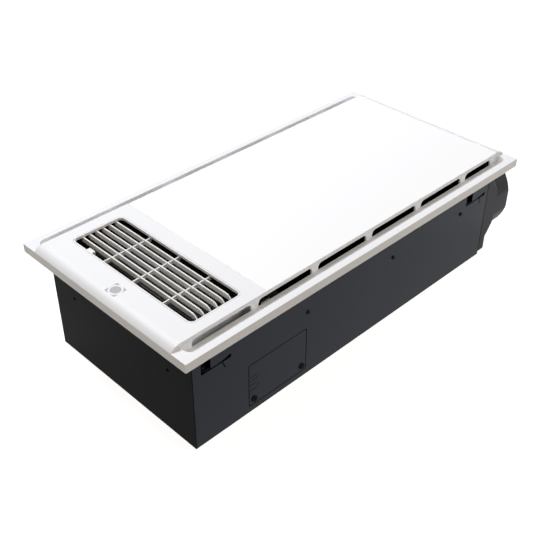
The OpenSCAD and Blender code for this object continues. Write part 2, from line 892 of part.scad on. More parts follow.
// One screw of the box along Z, its head at the top and its shank down
module screw(l) {
    difference() {
        union() {
            cylinder(h = head_h, r = head_r, $fn = 48);
            translate([0, 0, -l])
                cylinder(h = l + 0.5, r = screw_r, $fn = 48);
        }
        for (a = [0, 90])
            rotate([0, 0, a])
                translate([-0.75 * head_r, -head_r / 8, head_h / 2])
                    cube([1.5 * head_r, head_r / 4, head_h]);
    }
}

// Screws of the long sides and the adapter
module body_screws() {
    color("#17181a")
    union() {
        for (s = [0, 1], x = side_screws)
            mirror([0, s, 0])
                translate([x, half_b, screw_z])
                    rotate([-90, 0, 0])
                        screw(4);
        for (p = corner_screws)
            translate([base_x1, p[0], p[1]])
                rotate([0, 90, 0])
                    screw(adapter_t + 2.5);
    }
}

// End cover of the duct side: shallow pan, flare and round spigot
module duct_adapter() {
    color("#2b2d31")
    difference() {
        union() {
            difference() {
                translate([body_far, 0, 0])
                    rotate([90, 0, 90])
                        linear_extrude(adapter_t)
                            translate([-half_b, 0])
                                mirror([0, 1])
                                    translate([0, -floor_z])
                                        arch_rect(body_wid, floor_z, 7);
                span([body_far - eps, -half_b + spigot_wall, spigot_wall],
                    [base_x1 - spigot_wall, half_b - spigot_wall, floor_z - spigot_wall]);
            }
            // screw posts in the pan
            for (p = corner_screws)
                rod_x(body_far, base_x1 - eps, p[0], p[1], 5);
            // flare, sleeve inside the pan and the flare, and spigot, flat in line with the box's sides
            intersection() {
                union() {
                    translate([base_x1 - spigot_wall, spigot_y, spigot_z])
                        rotate([0, 90, 0])
                            cylinder(h = flare_len + spigot_wall, r1 = spigot_r + flare_rise,
                                r2 = spigot_r + flare_step);
                    rod_x(body_far, flare_x1 + 1, spigot_y, spigot_z, bore_r + sleeve_t);
                    rod_x(flare_x1, duct_x1, spigot_y, spigot_z, spigot_r);
                }
                span([body_far - eps, -half_b, 0.5], [duct_x1 + eps, half_b, floor_z - 0.5]);
            }
        }
        rod_x(body_far - eps, flap_x - flap_t / 2 - clear - 2, spigot_y, spigot_z, bore_r);
        rod_x(body_far, flap_x, spigot_y, spigot_z, bore_r - 3);
        rod_x(flap_x - flap_t / 2 - clear, duct_x1 + eps, spigot_y, spigot_z, bore_r);
        // seats of the flaps' pin
        translate([flap_x, spigot_y, spigot_z - bore_r - 2])
            cylinder(h = 2 * bore_r + 4, r = pin_r + run);
        // knuckles of the flaps pass the stop ring
        for (s = [-1, 1])
            span([flap_x - knuckle_r - 1, spigot_y - knuckle_r - 1, spigot_z + s * (bore_r - 2) - 2.2],
                [flap_x, spigot_y + knuckle_r + 1, spigot_z + s * (bore_r - 2) + 2.2]);
        for (p = corner_screws)
            rod_x(body_far - eps, base_x1 + eps, p[0], p[1], screw_r + run);
    }
}

// Pin that carries both backdraft flaps
module flap_pin() {
    color("silver")
    translate([flap_x, spigot_y, spigot_z - bore_r - 1.8])
        cylinder(h = 2 * bore_r + 3.6, r = pin_r);
}

knuckle_n = 6;
knuckle_span = 2 * bore_r - 6;

// Half disc with every second knuckle of the hinge, s is its side
module half_flap(s) {
    k = knuckle_span / knuckle_n;
    z0 = spigot_z - knuckle_span / 2;
    first = s < 0 ? 0 : 1;
    near_y = spigot_y + s * (knuckle_r + clear);
    difference() {
        union() {
            intersection() {
                rod_x(flap_x - flap_t / 2, flap_x + flap_t / 2, spigot_y, spigot_z, flap_r);
                span([flap_x - 5, s < 0 ? spigot_y - flap_r - 1 : near_y, 0],
                    [flap_x + 5, s < 0 ? near_y : spigot_y + flap_r + 1, 2 * spigot_z]);
            }
            for (i = [first : 2 : knuckle_n - 1])
                translate([0, 0, z0 + i * k + clear / 2]) {
                    translate([flap_x, spigot_y, 0])
                        cylinder(h = k - clear, r = knuckle_r);
                    span([flap_x - flap_t / 2, s < 0 ? spigot_y - knuckle_r - 1 : spigot_y, 0],
                        [flap_x + flap_t / 2, s < 0 ? spigot_y : spigot_y + knuckle_r + 1, k - clear]);
                }
        }
        translate([flap_x, spigot_y, spigot_z - bore_r])
            cylinder(h = 2 * bore_r, r = pin_r + run);
    }
}

module flap_left() {
    color("#3a3c40")
    half_flap(-1);
}

module flap_right() {
    color("#3a3c40")
    half_flap(1);
}

wire_screws = [[wire_x + 8.2, wire_z + 6.8], [wire_x + wire_len - 6.4, wire_z + 6.8]];
// each knock-out is its lower edge, its width and its length from the cover's near edge
knock_outs = [for (i = [0, 1]) [wire_z + knock_z[i], knock_w[i], knock_len[i]]];

// Scored line of a knock-out that is open to the cover's near edge
module score(k) {
    w = 0.7;
    difference() {
        stadium(k, 0);
        stadium(k, w);
    }
}

module stadium(k, w) {
    r = k[1] / 2 - w;
    translate([wire_x - eps, k[0] + w])
        square([k[2] - k[1] / 2 + eps, 2 * r]);
    translate([wire_x + k[2] - k[1] / 2, k[0] + k[1] / 2])
        circle(r);
}

// Flush cover of the wiring, with two scored cable knock-outs
module terminal_cover() {
    color("#2c2e31")
    difference() {
        across(-half_b, sheet_t)
            translate([wire_x, wire_z])
                round_rect(wire_len, wire_h, 2.4);
        across(-half_b - eps, eps + 0.5)
            for (k = knock_outs)
                score(k);
        for (p = wire_screws)
            rod_y(-half_b - eps, -half_b + sheet_t + eps, p[0], p[1], screw_r + 0.1);
    }
}

// Broad screws of the wiring cover
module terminal_screws() {
    color("#101112")
    for (p = wire_screws)
        translate([p[0], -half_b, p[1]])
            rotate([90, 0, 0])
                difference() {
                    union() {
                        cylinder(h = 1.2, r = 4.3, $fn = 48);
                        translate([0, 0, -9])
                            cylinder(h = 9.5, r = screw_r, $fn = 48);
                    }
                    for (a = [0, 90])
                        rotate([0, 0, a])
                            translate([-3, -0.5, 0.5])
                                cube([6, 1, 1.2]);
                }
}

wbox_t = 1.6;
wbox_y1 = -side_in + wire_room;
wbox_step = -plen_y - 1.4;
wbox_xs = plen_x1 + plastic_t + 1;

// Box behind the wiring cover, stepped where the outlet duct passes
module wiring_box() {
    x0 = wire_x - 2.6;
    x1 = wire_x + wire_len + 2.6;
    z0 = wire_z - 3;
    z1 = wire_z + wire_h + 3;
    color("dimgray")
    union() {
        difference() {
            union() {
                span([x0, -side_in, z0], [x1, wbox_step, z1]);
                span([wbox_xs, -side_in, z0], [x1, wbox_y1, z1]);
            }
            span([x0 + wbox_t, -side_in - eps, z0 + wbox_t],
                [x1 - wbox_t, wbox_step - wbox_t, z1 - wbox_t]);
            span([wbox_xs + wbox_t, -side_in - eps, z0 + wbox_t],
                [x1 - wbox_t, wbox_y1 - wbox_t, z1 - wbox_t]);
        }
        // bosses behind the cover's screws
        for (p = wire_screws)
            difference() {
                rod_y(-side_in, p[0] < wbox_xs ? wbox_step : wbox_y1, p[0], p[1], 4.5);
                rod_y(-side_in - eps, -side_in + 9, p[0], p[1], screw_r + run);
            }
        // foot on the box's back
        span([wbox_xs + 4, -side_in + 6, sheet_t], [x1 - 8, wbox_y1 - 4, z0 + eps]);
    }
}

block_x = wire_x + block_inset;

// Row of six terminals on the wiring box's wall
module terminal_block() {
    y1 = wbox_y1 - wbox_t;
    z0 = wire_z + block_h;
    step_z = z0 + block_h * 2 / 3;
    color("ivory")
    difference() {
        union() {
            span([block_x, y1 - block_w, z0], [block_x + block_len, y1, step_z]);
            span([block_x, y1 - 0.64 * block_w, step_z - eps], [block_x + block_len, y1, z0 + block_h]);
        }
        for (i = [0.5 : 5.5])
            translate([block_x + i * block_len / 6, y1 - block_w - eps, z0 + 0.4 * block_h])
                rotate([-90, 0, 0])
                    cylinder(h = 6, r = block_len / 23, $fn = 32);
    }
}

// Saddle and strap that grip the cable behind the knock-outs
module cable_clamp() {
    y1 = wbox_y1 - wbox_t;
    z0 = wire_z + 20;
    x0 = wbox_xs + wbox_t + clear;
    x1 = block_x - 1.5;
    color("black")
    difference() {
        span([x0, y1 - 13, z0], [x1, y1, z0 + 34]);
        span([x0 - eps, y1 - 9.5, z0 + 11], [x1 + eps, y1 - 2.5, z0 + 23]);
    }
}

ctrl = [wire_x + wire_len + ctrl_gap, -side_in + ctrl_gap / 2, ctrl_h];
ctrl_l = throat_x - 0.5 - ctrl[0];

// Open tray for the control board
module control_tray() {
    color("dimgray")
    union() {
        difference() {
            translate([ctrl[0], ctrl[1], sheet_t])
                cube([ctrl_l, ctrl_w, ctrl[2]]);
            translate([ctrl[0] + 1.5, ctrl[1] + 1.5, sheet_t + 1.5])
                cube([ctrl_l - 3, ctrl_w - 3, ctrl[2]]);
        }
        for (x = [ctrl_gap, ctrl_l - ctrl_gap], y = [ctrl_gap, ctrl_w - ctrl_gap])
            translate([ctrl[0] + x, ctrl[1] + y, sheet_t + 1])
                cylinder(h = 6, r = 3.5, $fn = 32);
    }
}

// Control board with its relays, transformer and connectors
module control_board() {
    z = sheet_t + 7;
    l = ctrl_l - 6;
    color("darkgreen")
    translate([ctrl[0] + 3, ctrl[1] + 3, z])
        union() {
            cube([l, ctrl_w - 6, 1.6]);
            for (i = [0 : 3])
                translate([l * (0.11 + i * 0.164), ctrl_gap, 1.4])
                    cube([l * 0.127, 18, 15]);
            translate([l * 0.11, 34, 1.4])
                cube([l * 0.27, 24, 20]);
            translate([l / 2, 38, 1.4])
                cylinder(h = 18, r = 6, $fn = 32);
            for (i = [0 : 2])
                translate([l * 0.62, 32 + i * 9, 1.4])
                    cube([l * 0.27, 6, 8]);
        }
}

bracket_x0 = 7;
bracket_y = 14;
ear_t = 1.6;
ear_lo = lug_z - 14;
ear_hi = floor_z - skirt_drop - 4;

// One bracket for a lug's screw, an upright web with an ear at each end
module lug_bracket(x) {
    difference() {
        union() {
            span([x - bracket_x0, -side_in + bracket_y - 1.2, ear_lo],
                [x + bracket_x0, -side_in + bracket_y, ear_hi]);
            for (z = [ear_lo, ear_hi - ear_t])
                span([x - bracket_x0, -side_in, z], [x + bracket_x0, -side_in + bracket_y, z + ear_t]);
        }
        translate([x, -side_in + lug_w / 2 + 0.3, ear_lo - eps])
            cylinder(h = ear_hi - ear_lo + 2 * eps, r = lug_screw_r + run);
    }
}

// Places something at each of the four lugs: two on the near side, two turned half round
module at_lugs() {
    for (a = [0, 180], x = lug_x)
        rotate([0, 0, a])
            translate([x, 0, 0])
                children();
}

module lug_brackets() {
    color("gray")
    at_lugs()
        lug_bracket(0);
}

// Upright screws on which the lugs turn
module lug_screws() {
    color("silver")
    at_lugs()
        translate([0, -side_in + lug_w / 2 + 0.3, 0])
            difference() {
                union() {
                    translate([0, 0, ear_lo - 4])
                        cylinder(h = ear_hi - ear_lo + 4.5, r = lug_screw_r);
                    translate([0, 0, ear_hi])
                        cylinder(h = 2.4, r = 3.8, $fn = 48);
                }
                for (a = [0, 90])
                    rotate([0, 0, a])
                        translate([-2.6, -0.4, ear_hi + 1.2])
                            cube([5.2, 0.8, 2]);
            }
}

// Thin steel lug folded along the wall, with the eye that turns on its screw
module lug(a, x) {
    color("#3c3e40")
    rotate([0, 0, a])
        translate([x, -side_in + lug_w / 2 + 0.3, lug_z - lug_t / 2])
            difference() {
                union() {
                    cylinder(h = lug_t, r = lug_w / 2);
                    translate([0, -lug_w / 2, 0])
                        cube([lug_reach, lug_w, lug_t]);
                    // boss that keeps the lug square to its screw
                    cylinder(h = 5, r = lug_screw_r + 1.6);
                }
                translate([0, 0, -eps])
                    cylinder(h = 7, r = lug_screw_r + run);
            }
}

module lug_1() {
    lug(0, lug_x[0]);
}

module lug_2() {
    lug(0, lug_x[1]);
}

module lug_3() {
    lug(180, lug_x[0]);
}

module lug_4() {
    lug(180, lug_x[1]);
}

// Radius of the scroll at an angle past its tongue, grown by g
function scroll_r(a, g) =
    scroll_r0 + (scroll_r1 - scroll_r0) * min(1, (a + tongue_a) / (90 + tongue_a)) + g;

// Half of the scroll's outline: the spiral from one tongue, then the straight throat
function half_outline(g, throat) =
    let (start = asin((g - tongue_y) / (scroll_r0 + g)))
    concat(
        [for (i = [0 : 24])
            let (a = start + (90 - start) * i / 24)
            [scroll_r(a, g) * cos(a), scroll_r(a, g) * sin(a)]],
        [[-throat, scroll_r1 + g], [-throat, tongue_y - g]]);

// Whole outline, the same half twice, with a short throat to the heater and a long one to the duct
function turn(p) = [for (q = p) [-q[0], -q[1]]];
module scroll_plan(g) {
    translate([fan_x, 0])
        polygon(concat(half_outline(g, fan_x - throat_x), turn(half_outline(g, far_in - fan_x))));
}

feet = [for (a = [40 : 90 : 310]) (scroll_r0 + 12.5) * [cos(a), sin(a)]];

// Scroll case: floor and spiral wall, standing on four feet
module scroll_case() {
    color("#1c1d1f")
    difference() {
        union() {
            translate([0, 0, scroll_z])
                linear_extrude(scroll_h)
                    scroll_plan(plastic_t);
            for (p = feet)
                translate([fan_x + p[0], p[1], sheet_t])
                    cylinder(h = scroll_z - sheet_t + eps, r = 6, $fn = 48);
        }
        translate([0, 0, scroll_z + plastic_t])
            linear_extrude(scroll_h)
                scroll_plan(0);
        // hole for the motor
        translate([fan_x, 0, scroll_z - eps])
            cylinder(h = plastic_t + 2 * eps, r = motor_r + 3);
        // lower bearings of the dampers
        for (a = [0, 180])
            translate([fan_x, 0, 0])
                rotate([0, 0, a])
                    translate([-damper_x, damper_y, scroll_z - eps])
                        cylinder(h = plastic_t + 2 * eps, r = damper_r + run);
        // the throats are open at their ends
        span([throat_x - plastic_t - eps, tongue_y, scroll_z + plastic_t],
            [throat_x + eps, scroll_r1, scroll_top + eps]);
        span([far_in - eps, -scroll_r1, scroll_z + plastic_t],
            [far_in + plastic_t + eps, -tongue_y, scroll_top + eps]);
    }
}

bell_r = 5;

// Cover of the scroll with the inlet's rounded bell and four side straps
module scroll_cover() {
    color("#1c1d1f")
    difference() {
        union() {
            translate([0, 0, scroll_top])
                linear_extrude(plastic_t)
                    scroll_plan(plastic_t);
            for (s = [0, 1], x = [side_screws[1], side_screws[2]])
                mirror([0, s, 0])
                    strap(x, 60, scroll_top, plastic_t);
            // rounded lip of the inlet
            translate([fan_x, 0, scroll_top + plastic_t])
                rotate_extrude()
                    translate([inlet_r + bell_r, 0])
                        intersection() {
                            circle(bell_r);
                            translate([-bell_r, 0])
                                square([2 * bell_r, bell_r]);
                        }
        }
        translate([fan_x, 0, scroll_top - eps])
            cylinder(h = plastic_t + bell_r + 2 * eps, r = inlet_r);
        for (a = [0, 180])
            translate([fan_x, 0, 0])
                rotate([0, 0, a])
                    translate([-damper_x, damper_y, scroll_top - eps])
                        cylinder(h = plastic_t + 2 * eps, r = damper_r + run);
        for (s = [0, 1], x = [side_screws[1], side_screws[2]])
            mirror([0, s, 0])
                rod_y(side_in - 4, side_in + eps, x, screw_z, screw_r + run);
    }
}

// Flat strap from y0 to the long wall, with its end turned up
module strap(x, y0, z, t) {
    span([x - 8, y0, z], [x + 8, side_in, z + t]);
    span([x - 8, side_in - 2, z], [x + 8, side_in, screw_z + 6]);
}

// Bent-plate wheel: domed back, ring of blades and front ring
module fan_wheel() {
    dome_r = motor_r + 3.2;
    dome_z = motor_top + boss_h + 1;
    color("#2e3033")
    translate([fan_x, 0, 0])
        union() {
            rotate_extrude()
                polygon([[wheel_r, wheel_z], [wheel_r, wheel_z + 2], [dome_r + 5, wheel_z + 2],
                    [dome_r + 1.8, dome_z + 2], [13, dome_z + 6], [13, dome_z + 16],
                    [shaft_r + 0.02, dome_z + 16], [shaft_r + 0.02, dome_z + 0.5], [12, dome_z + 0.5],
                    [dome_r, dome_z], [dome_r + 3, wheel_z]]);
            translate([0, 0, wheel_top - 3])
                rotate_extrude()
                    translate([wheel_r - wheel_blade, 0])
                        square([wheel_blade, 3]);
            for (i = [0 : wheel_n - 1])
                rotate([0, 0, i * 360 / wheel_n])
                    translate([wheel_r - wheel_blade + 0.8, 0, wheel_z + 1])
                        rotate([0, 0, 25])
                            translate([0, -0.6, 0])
                                cube([wheel_blade - 1.8, 1.2, wheel_h - 2]);
        }
}

shaft_top = motor_top + boss_h + 28;

// Nut that holds the wheel on its shaft
module wheel_nut() {
    color("silver")
    translate([fan_x, 0, motor_top + boss_h + 17])
        difference() {
            cylinder(h = 6, r = 8, $fn = 6);
            translate([0, 0, -eps])
                cylinder(h = 8, r = shaft_r + 0.02);
        }
}

module motor_shaft() {
    color("silver")
    translate([fan_x, 0, motor_z + 4])
        cylinder(h = shaft_top - motor_z - 4, r = shaft_r);
}

// Motor can with its front boss and shaft bore
module fan_motor() {
    color("silver")
    translate([fan_x, 0, motor_z])
        difference() {
            union() {
                cylinder(h = motor_h - 2, r = motor_r);
                cylinder(h = motor_h, r = motor_r - 2);
                cylinder(h = motor_h + boss_h, r = 11);
            }
            translate([0, 0, 3])
                cylinder(h = motor_h + boss_h, r = shaft_r + run);
        }
}

// Places something at each of the three rubber mounts
module at_mounts() {
    for (a = [90, 210, 330])
        translate([fan_x, 0, 0])
            rotate([0, 0, a])
                translate([mount_r, 0, 0])
                    children();
}

module motor_plate() {
    color("gray")
    difference() {
        translate([fan_x, 0, plate_z])
            cylinder(h = plate_t, r = mount_r + 8);
        at_mounts()
            translate([0, 0, plate_z - eps])
                cylinder(h = plate_t + 2 * eps, r = 6.1);
    }
}

// Rubber grommets in the motor's plate
module motor_grommets() {
    color("black")
    at_mounts()
        difference() {
            union() {
                translate([0, 0, plate_z - 2])
                    cylinder(h = 2, r = 8);
                translate([0, 0, plate_z - 0.5])
                    cylinder(h = plate_t + 1, r = 6);
                translate([0, 0, plate_z + plate_t])
                    cylinder(h = 2, r = 8);
            }
            translate([0, 0, plate_z - 3])
                cylinder(h = plate_t + 6, r = 3.05);
        }
}

// Studs on the box's back that carry the motor
module motor_studs() {
    color("silver")
    at_mounts() {
        translate([0, 0, sheet_t])
            cylinder(h = plate_z - 2 - sheet_t, r = 5);
        translate([0, 0, sheet_t])
            cylinder(h = plate_z + plate_t + 5.5 - sheet_t, r = 3);
    }
}

module motor_nuts() {
    color("silver")
    at_mounts()
        translate([0, 0, plate_z + plate_t + 2])
            difference() {
                cylinder(h = 3, r = 5.5, $fn = 6);
                translate([0, 0, -eps])
                    cylinder(h = 5, r = 3.05);
            }
}

// Motor's run capacitor on the box's back
module run_capacitor() {
    color("white")
    union() {
        translate([far_in - cap_gap - cap_len, side_in - 1.75 * cap_gap - cap_w, sheet_t])
            cube([cap_len, cap_w, cap_h]);
        // two tabs for its wires
        for (y = [0.25, 0.7])
            translate([far_in - cap_gap - 0.55 * cap_len, side_in - 1.75 * cap_gap - y * cap_w, sheet_t])
                cube([cap_tab, 1, cap_h + cap_tab]);
    }
}

// Damper flap with its shaft; drawn for the heater's throat, its plate along -X
module damper(closed) {
    translate([-damper_x, damper_y, 0])
        rotate([0, 0, closed ? -90 : 0]) {
            translate([0, 0, scroll_z - 4])
                cylinder(h = scroll_h + plastic_t + 12, r = damper_r);
            span([-damper_len, -1, scroll_z + plastic_t + 0.6], [0, 1, scroll_top - plastic_t - 0.6]);
        }
}

module heat_damper() {
    color("dimgray")
    translate([fan_x, 0, 0])
        damper(false);
}

module exhaust_damper() {
    color("dimgray")
    translate([fan_x, 0, 0])
        rotate([0, 0, 180])
            damper(true);
}

// Geared motor of a damper, on the scroll's cover
module damper_motor() {
    z0 = scroll_top + plastic_t;
    color("silver")
    difference() {
        union() {
            translate([-damper_x - 20, damper_y - 15, z0])
                cube([40, 30, damper_motor_h]);
            translate([-damper_x - 27, damper_y - 6, z0])
                cube([54, 12, 1.5]);
        }
        translate([-damper_x, damper_y, z0 - eps])
            cylinder(h = 9 + eps, r = damper_r + run);
    }
}

module heat_damper_motor() {
    translate([fan_x, 0, 0])
        damper_motor();
}

module exhaust_damper_motor() {
    translate([fan_x, 0, 0])
        rotate([0, 0, 180])
            damper_motor();
}

// Plan of the channel from the scroll's throat to the plenum, grown by g
module channel_outline(g) {
    polygon([[throat_x, tongue_y - g], [throat_x, scroll_r1 + g], [throat_x - 60, scroll_r1 + g],
        [plen_x1, plen_y - plastic_t + g], [plen_x1 - plastic_t, -plen_y * 0.62 - g]]);
}

tie_x = side_screws[0];
duct_feet = [[plen_x0 + 12, -plen_y + 14], [plen_x0 + 12, plen_y - 14], [throat_x - 20, scroll_r1 - 20],
    [-100, 20]];

// Outlet duct: channel from the scroll, then the plenum that rises to the grille
module outlet_duct() {
    color("#b4b1ab")
    difference() {
        union() {
            translate([0, 0, scroll_z])
                linear_extrude(scroll_h)
                    channel_outline(plastic_t);
            difference() {
                span([plen_x0, -plen_y, scroll_z], [plen_x1, plen_y, plen_top]);
                span([plen_x0 + plastic_t, -plen_y + plastic_t, scroll_z + plastic_t],
                    [plen_x1 - plastic_t, plen_y - plastic_t, plen_top + eps]);
            }
            // ledges under the heater's frame
            for (s = [0, 1])
                mirror([0, s, 0])
                    span([plen_x0 + 1, plen_y - plastic_t - 4, core_z - 3],
                        [plen_x1 - 1, plen_y - plastic_t + eps, core_z]);
            // straps to the long walls, their ends turned up
            span([tie_x - 8, -side_in, scroll_top - plastic_t], [tie_x + 8, 0, scroll_top]);
            span([tie_x - 8, scroll_r1 - 8, scroll_top - plastic_t], [tie_x + 8, side_in, scroll_top]);
            for (s = [0, 1])
                mirror([0, s, 0])
                    span([tie_x - 8, side_in - 2, scroll_top - plastic_t],
                        [tie_x + 8, side_in, screw_z + 6]);
            // feet
            for (p = duct_feet)
                translate([p[0], p[1], sheet_t])
                    cylinder(h = scroll_z - sheet_t + eps, r = 6, $fn = 48);
        }
        // air space of the channel
        translate([0, 0, scroll_z + plastic_t])
            linear_extrude(scroll_h - 2 * plastic_t)
                channel_outline(0);
        span([throat_x - eps, tongue_y, scroll_z + plastic_t],
            [throat_x + eps, scroll_r1, scroll_top - plastic_t]);
        // the plenum's top edge is notched for the grille's hooks and latch
        for (y = hook_y)
            span([plen_x1 - plastic_t - eps, y - hook_w / 2 - clear, hook_top - hook_t - clear],
                [plen_x1 + eps, y + hook_w / 2 + clear, plen_top + eps]);
        span([plen_x0 - eps, latch_y - latch_w / 2 - clear, latch_top - latch_t - clear],
            [plen_x0 + plastic_t + eps, latch_y + latch_w / 2 + clear, plen_top + eps]);
        for (s = [0, 1])
            mirror([0, s, 0])
                rod_y(side_in - 4, side_in + eps, tie_x, screw_z, screw_r + run);
    }
}

frame_x0 = plen_x0 + plastic_t + clear;
frame_x1 = plen_x1 - plastic_t - clear;
frame_y = plen_y - plastic_t - clear;
frame_w = 7;

// Heat-resistant frame around the heater
module core_frame() {
    color("#101010")
    difference() {
        span([frame_x0, -frame_y, core_z], [frame_x1, frame_y, core_z + core_h]);
        span([frame_x0 + frame_w, -frame_y + frame_w, core_z - eps],
            [frame_x1 - frame_w, frame_y - frame_w, core_z + core_h + eps]);
    }
}

core_x0 = frame_x0 + frame_w;
core_x1 = frame_x1 - frame_w;
core_y = frame_y - frame_w;
tube_t = 2.4;
fin_t = 0.8;

// Heater: flat tubes along the grille with thin fins across them
module heater_core() {
    pitch = (core_x1 - core_x0 - tube_t) / (tube_n + 1);
    rows = floor(2 * core_y / fin_pitch);
    color("darkgray")
    translate([0, -core_y, core_z + 2])
        linear_extrude(core_h - 4)
            union() {
                for (i = [1 : tube_n])
                    translate([core_x0 + i * pitch, 0])
                        square([tube_t, 2 * core_y]);
                for (i = [0 : rows])
                    translate([core_x0, i * (2 * core_y - fin_t) / rows])
                        square([core_x1 - core_x0, fin_t]);
            }
}

// Thermal cut-out on the heater's frame
module thermal_cutout() {
    color("saddlebrown")
    translate([frame_x0 + 3.5, grille_y + 60, core_z + core_h])
        union() {
            translate([-3.2, -12, 0])
                cube([6.4, 24, 1]);
            translate([-3, -7, 0.5])
                cube([6, 14, 6]);
        }
}

panel_frame();
outlet_grille();
grille_latch();
light_diffuser();
light_tray();
led_strips();
led_driver();
receiver_window();
corner_lights();
receiver_board();
panel_clips();
housing_shell();
near_end_plate();
far_end_plate();
body_screws();
duct_adapter();
flap_pin();
flap_left();
flap_right();
terminal_cover();
terminal_screws();
wiring_box();
terminal_block();
cable_clamp();
control_tray();
control_board();
lug_brackets();
lug_screws();
lug_1();
lug_2();
lug_3();
lug_4();
scroll_case();
scroll_cover();
fan_wheel();
wheel_nut();
motor_shaft();
fan_motor();
motor_plate();
motor_grommets();
motor_studs();
motor_nuts();
run_capacitor();
heat_damper();
exhaust_damper();
heat_damper_motor();
exhaust_damper_motor();
outlet_duct();
core_frame();
heater_core();
thermal_cutout();
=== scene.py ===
import math

import bpy
import numpy as np
from mathutils import Matrix, Vector


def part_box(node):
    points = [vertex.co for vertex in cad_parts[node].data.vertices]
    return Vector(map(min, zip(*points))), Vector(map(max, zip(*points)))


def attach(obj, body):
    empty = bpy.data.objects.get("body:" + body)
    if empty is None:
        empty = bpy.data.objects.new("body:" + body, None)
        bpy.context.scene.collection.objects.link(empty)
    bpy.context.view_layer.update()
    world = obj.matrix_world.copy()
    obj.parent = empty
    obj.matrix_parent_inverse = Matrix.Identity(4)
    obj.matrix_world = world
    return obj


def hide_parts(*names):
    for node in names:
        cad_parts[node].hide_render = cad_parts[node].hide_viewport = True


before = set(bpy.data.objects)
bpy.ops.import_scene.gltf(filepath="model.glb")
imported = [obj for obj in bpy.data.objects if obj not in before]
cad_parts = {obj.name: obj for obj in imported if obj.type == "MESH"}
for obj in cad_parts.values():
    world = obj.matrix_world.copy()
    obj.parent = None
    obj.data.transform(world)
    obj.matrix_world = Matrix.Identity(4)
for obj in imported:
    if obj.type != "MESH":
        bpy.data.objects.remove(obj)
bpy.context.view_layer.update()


# Camera: the photograph looks down on the near corner of the box, at 36.5 degrees.
# Its place was solved from the panel's 300 x 600 mm outline, with no lens shift.
camera_data = bpy.data.cameras.new("camera")
camera_data.lens = 59.963  # millimetres, on a sensor 36 mm wide
camera_data.sensor_width = 36.0
camera_data.clip_start = 0.05
camera = bpy.data.objects.new("camera", camera_data)
camera_place = (-0.7104, -0.6867, 0.7725)
azimuth, elevation, roll = (math.radians(a) for a in (-44.638, 36.545, -0.138))
flat = math.cos(elevation)
back = Vector((math.sin(azimuth) * flat, -math.cos(azimuth) * flat, math.sin(elevation)))
right = Vector((0, 0, 1)).cross(back).normalized()
up = back.cross(right)
rolled_right = math.cos(roll) * right - math.sin(roll) * up
rolled_up = math.sin(roll) * right + math.cos(roll) * up
turned = Matrix((rolled_right, rolled_up, back)).transposed().to_4x4()
camera.matrix_world = Matrix.Translation(camera_place) @ turned
bpy.context.scene.collection.objects.link(camera)
bpy.context.scene.camera = camera
bpy.context.scene.view_settings.view_transform = "Standard"


# Studio: a pale paper sweep, one broad soft box high on the far side, so that the cover's
# wall shades the near channel, a lower one for the long side and a warm one at the near end.
def tone(code):
    """An sRGB hex colour as linear red, green, blue and alpha."""
    part = [int(code[i:i + 2], 16) / 255 for i in (1, 3, 5)]
    return [c / 12.92 if c <= 0.04045 else ((c + 0.055) / 1.055) ** 2.4 for c in part] + [1.0]


def fresh(owner):
    """Empties the node tree of a new material or world and gives the owner back."""
    owner.use_nodes = True
    owner.node_tree.nodes.clear()
    return owner


def add(owner, kind, settings=None, inputs=None):
    """Adds a shader node. settings are its own properties; inputs are values, or sockets to
    link from."""
    node = owner.node_tree.nodes.new("ShaderNode" + kind)
    for name, value in (settings or {}).items():
        setattr(node, name, value)
    for name, value in (inputs or {}).items():
        if isinstance(value, bpy.types.NodeSocket):
            owner.node_tree.links.new(value, node.inputs[name])
        else:
            node.inputs[name].default_value = value
    return node


def seen_rays(owner):
    """1 for the rays that the camera, gloss and glass see, and 0 for those that only light."""
    path = add(owner, "LightPath")
    direct = add(owner, "Math", {"operation": "MAXIMUM"},
                 {0: path.outputs["Is Camera Ray"], 1: path.outputs["Is Glossy Ray"]})
    every = add(owner, "Math", {"operation": "MAXIMUM"},
                {0: direct.outputs[0], 1: path.outputs["Is Transmission Ray"]})
    return every.outputs[0]


studio = fresh(bpy.data.worlds.new("studio"))
bpy.context.scene.world = studio
room = add(studio, "Background", None, {"Color": tone("#fff3e7"), "Strength": 0.17})
white = add(studio, "Background", None, {"Color": tone("#ffffff"), "Strength": 1.0})
sky = add(studio, "MixShader", None,
          {0: seen_rays(studio), 1: room.outputs[0], 2: white.outputs[0]})
add(studio, "OutputWorld", None, {"Surface": sky.outputs[0]})

# the sweep lies half a millimetre under the box, so that their faces never coincide
far, under = 9, -0.0005
sweep_corners = [(-far, -far, under), (far, -far, under), (far, far, under), (-far, far, under)]
sweep_mesh = bpy.data.meshes.new("paper_sweep")
sweep_mesh.from_pydata(sweep_corners, [], [(0, 1, 2, 3)])
sweep = bpy.data.objects.new("paper_sweep", sweep_mesh)
bpy.context.scene.collection.objects.link(sweep)
paper = fresh(bpy.data.materials.new("pale_paper_sweep"))
matt = add(paper, "BsdfDiffuse", None, {"Color": tone("#b4b1ac")})
glow = add(paper, "Emission", None, {"Color": tone("#ffffff"), "Strength": 0.9})
bright = add(paper, "AddShader", None, {0: matt.outputs[0], 1: glow.outputs[0]})
both = add(paper, "MixShader", None,
           {0: seen_rays(paper), 1: matt.outputs[0], 2: bright.outputs[0]})
add(paper, "OutputMaterial", None, {"Surface": both.outputs[0]})
sweep_mesh.materials.append(paper)


def soft_box(name, place, target, size, power, colour):
    """A square area lamp at place that faces target."""
    data = bpy.data.lights.new(name, "AREA")
    data.shape = "SQUARE"
    data.size = size
    data.energy = power
    data.color = tone(colour)[:3]
    lamp = bpy.data.objects.new(name, data)
    facing = (Vector(place) - Vector(target)).to_track_quat("Z", "Y").to_matrix().to_4x4()
    lamp.matrix_world = Matrix.Translation(place) @ facing
    bpy.context.scene.collection.objects.link(lamp)


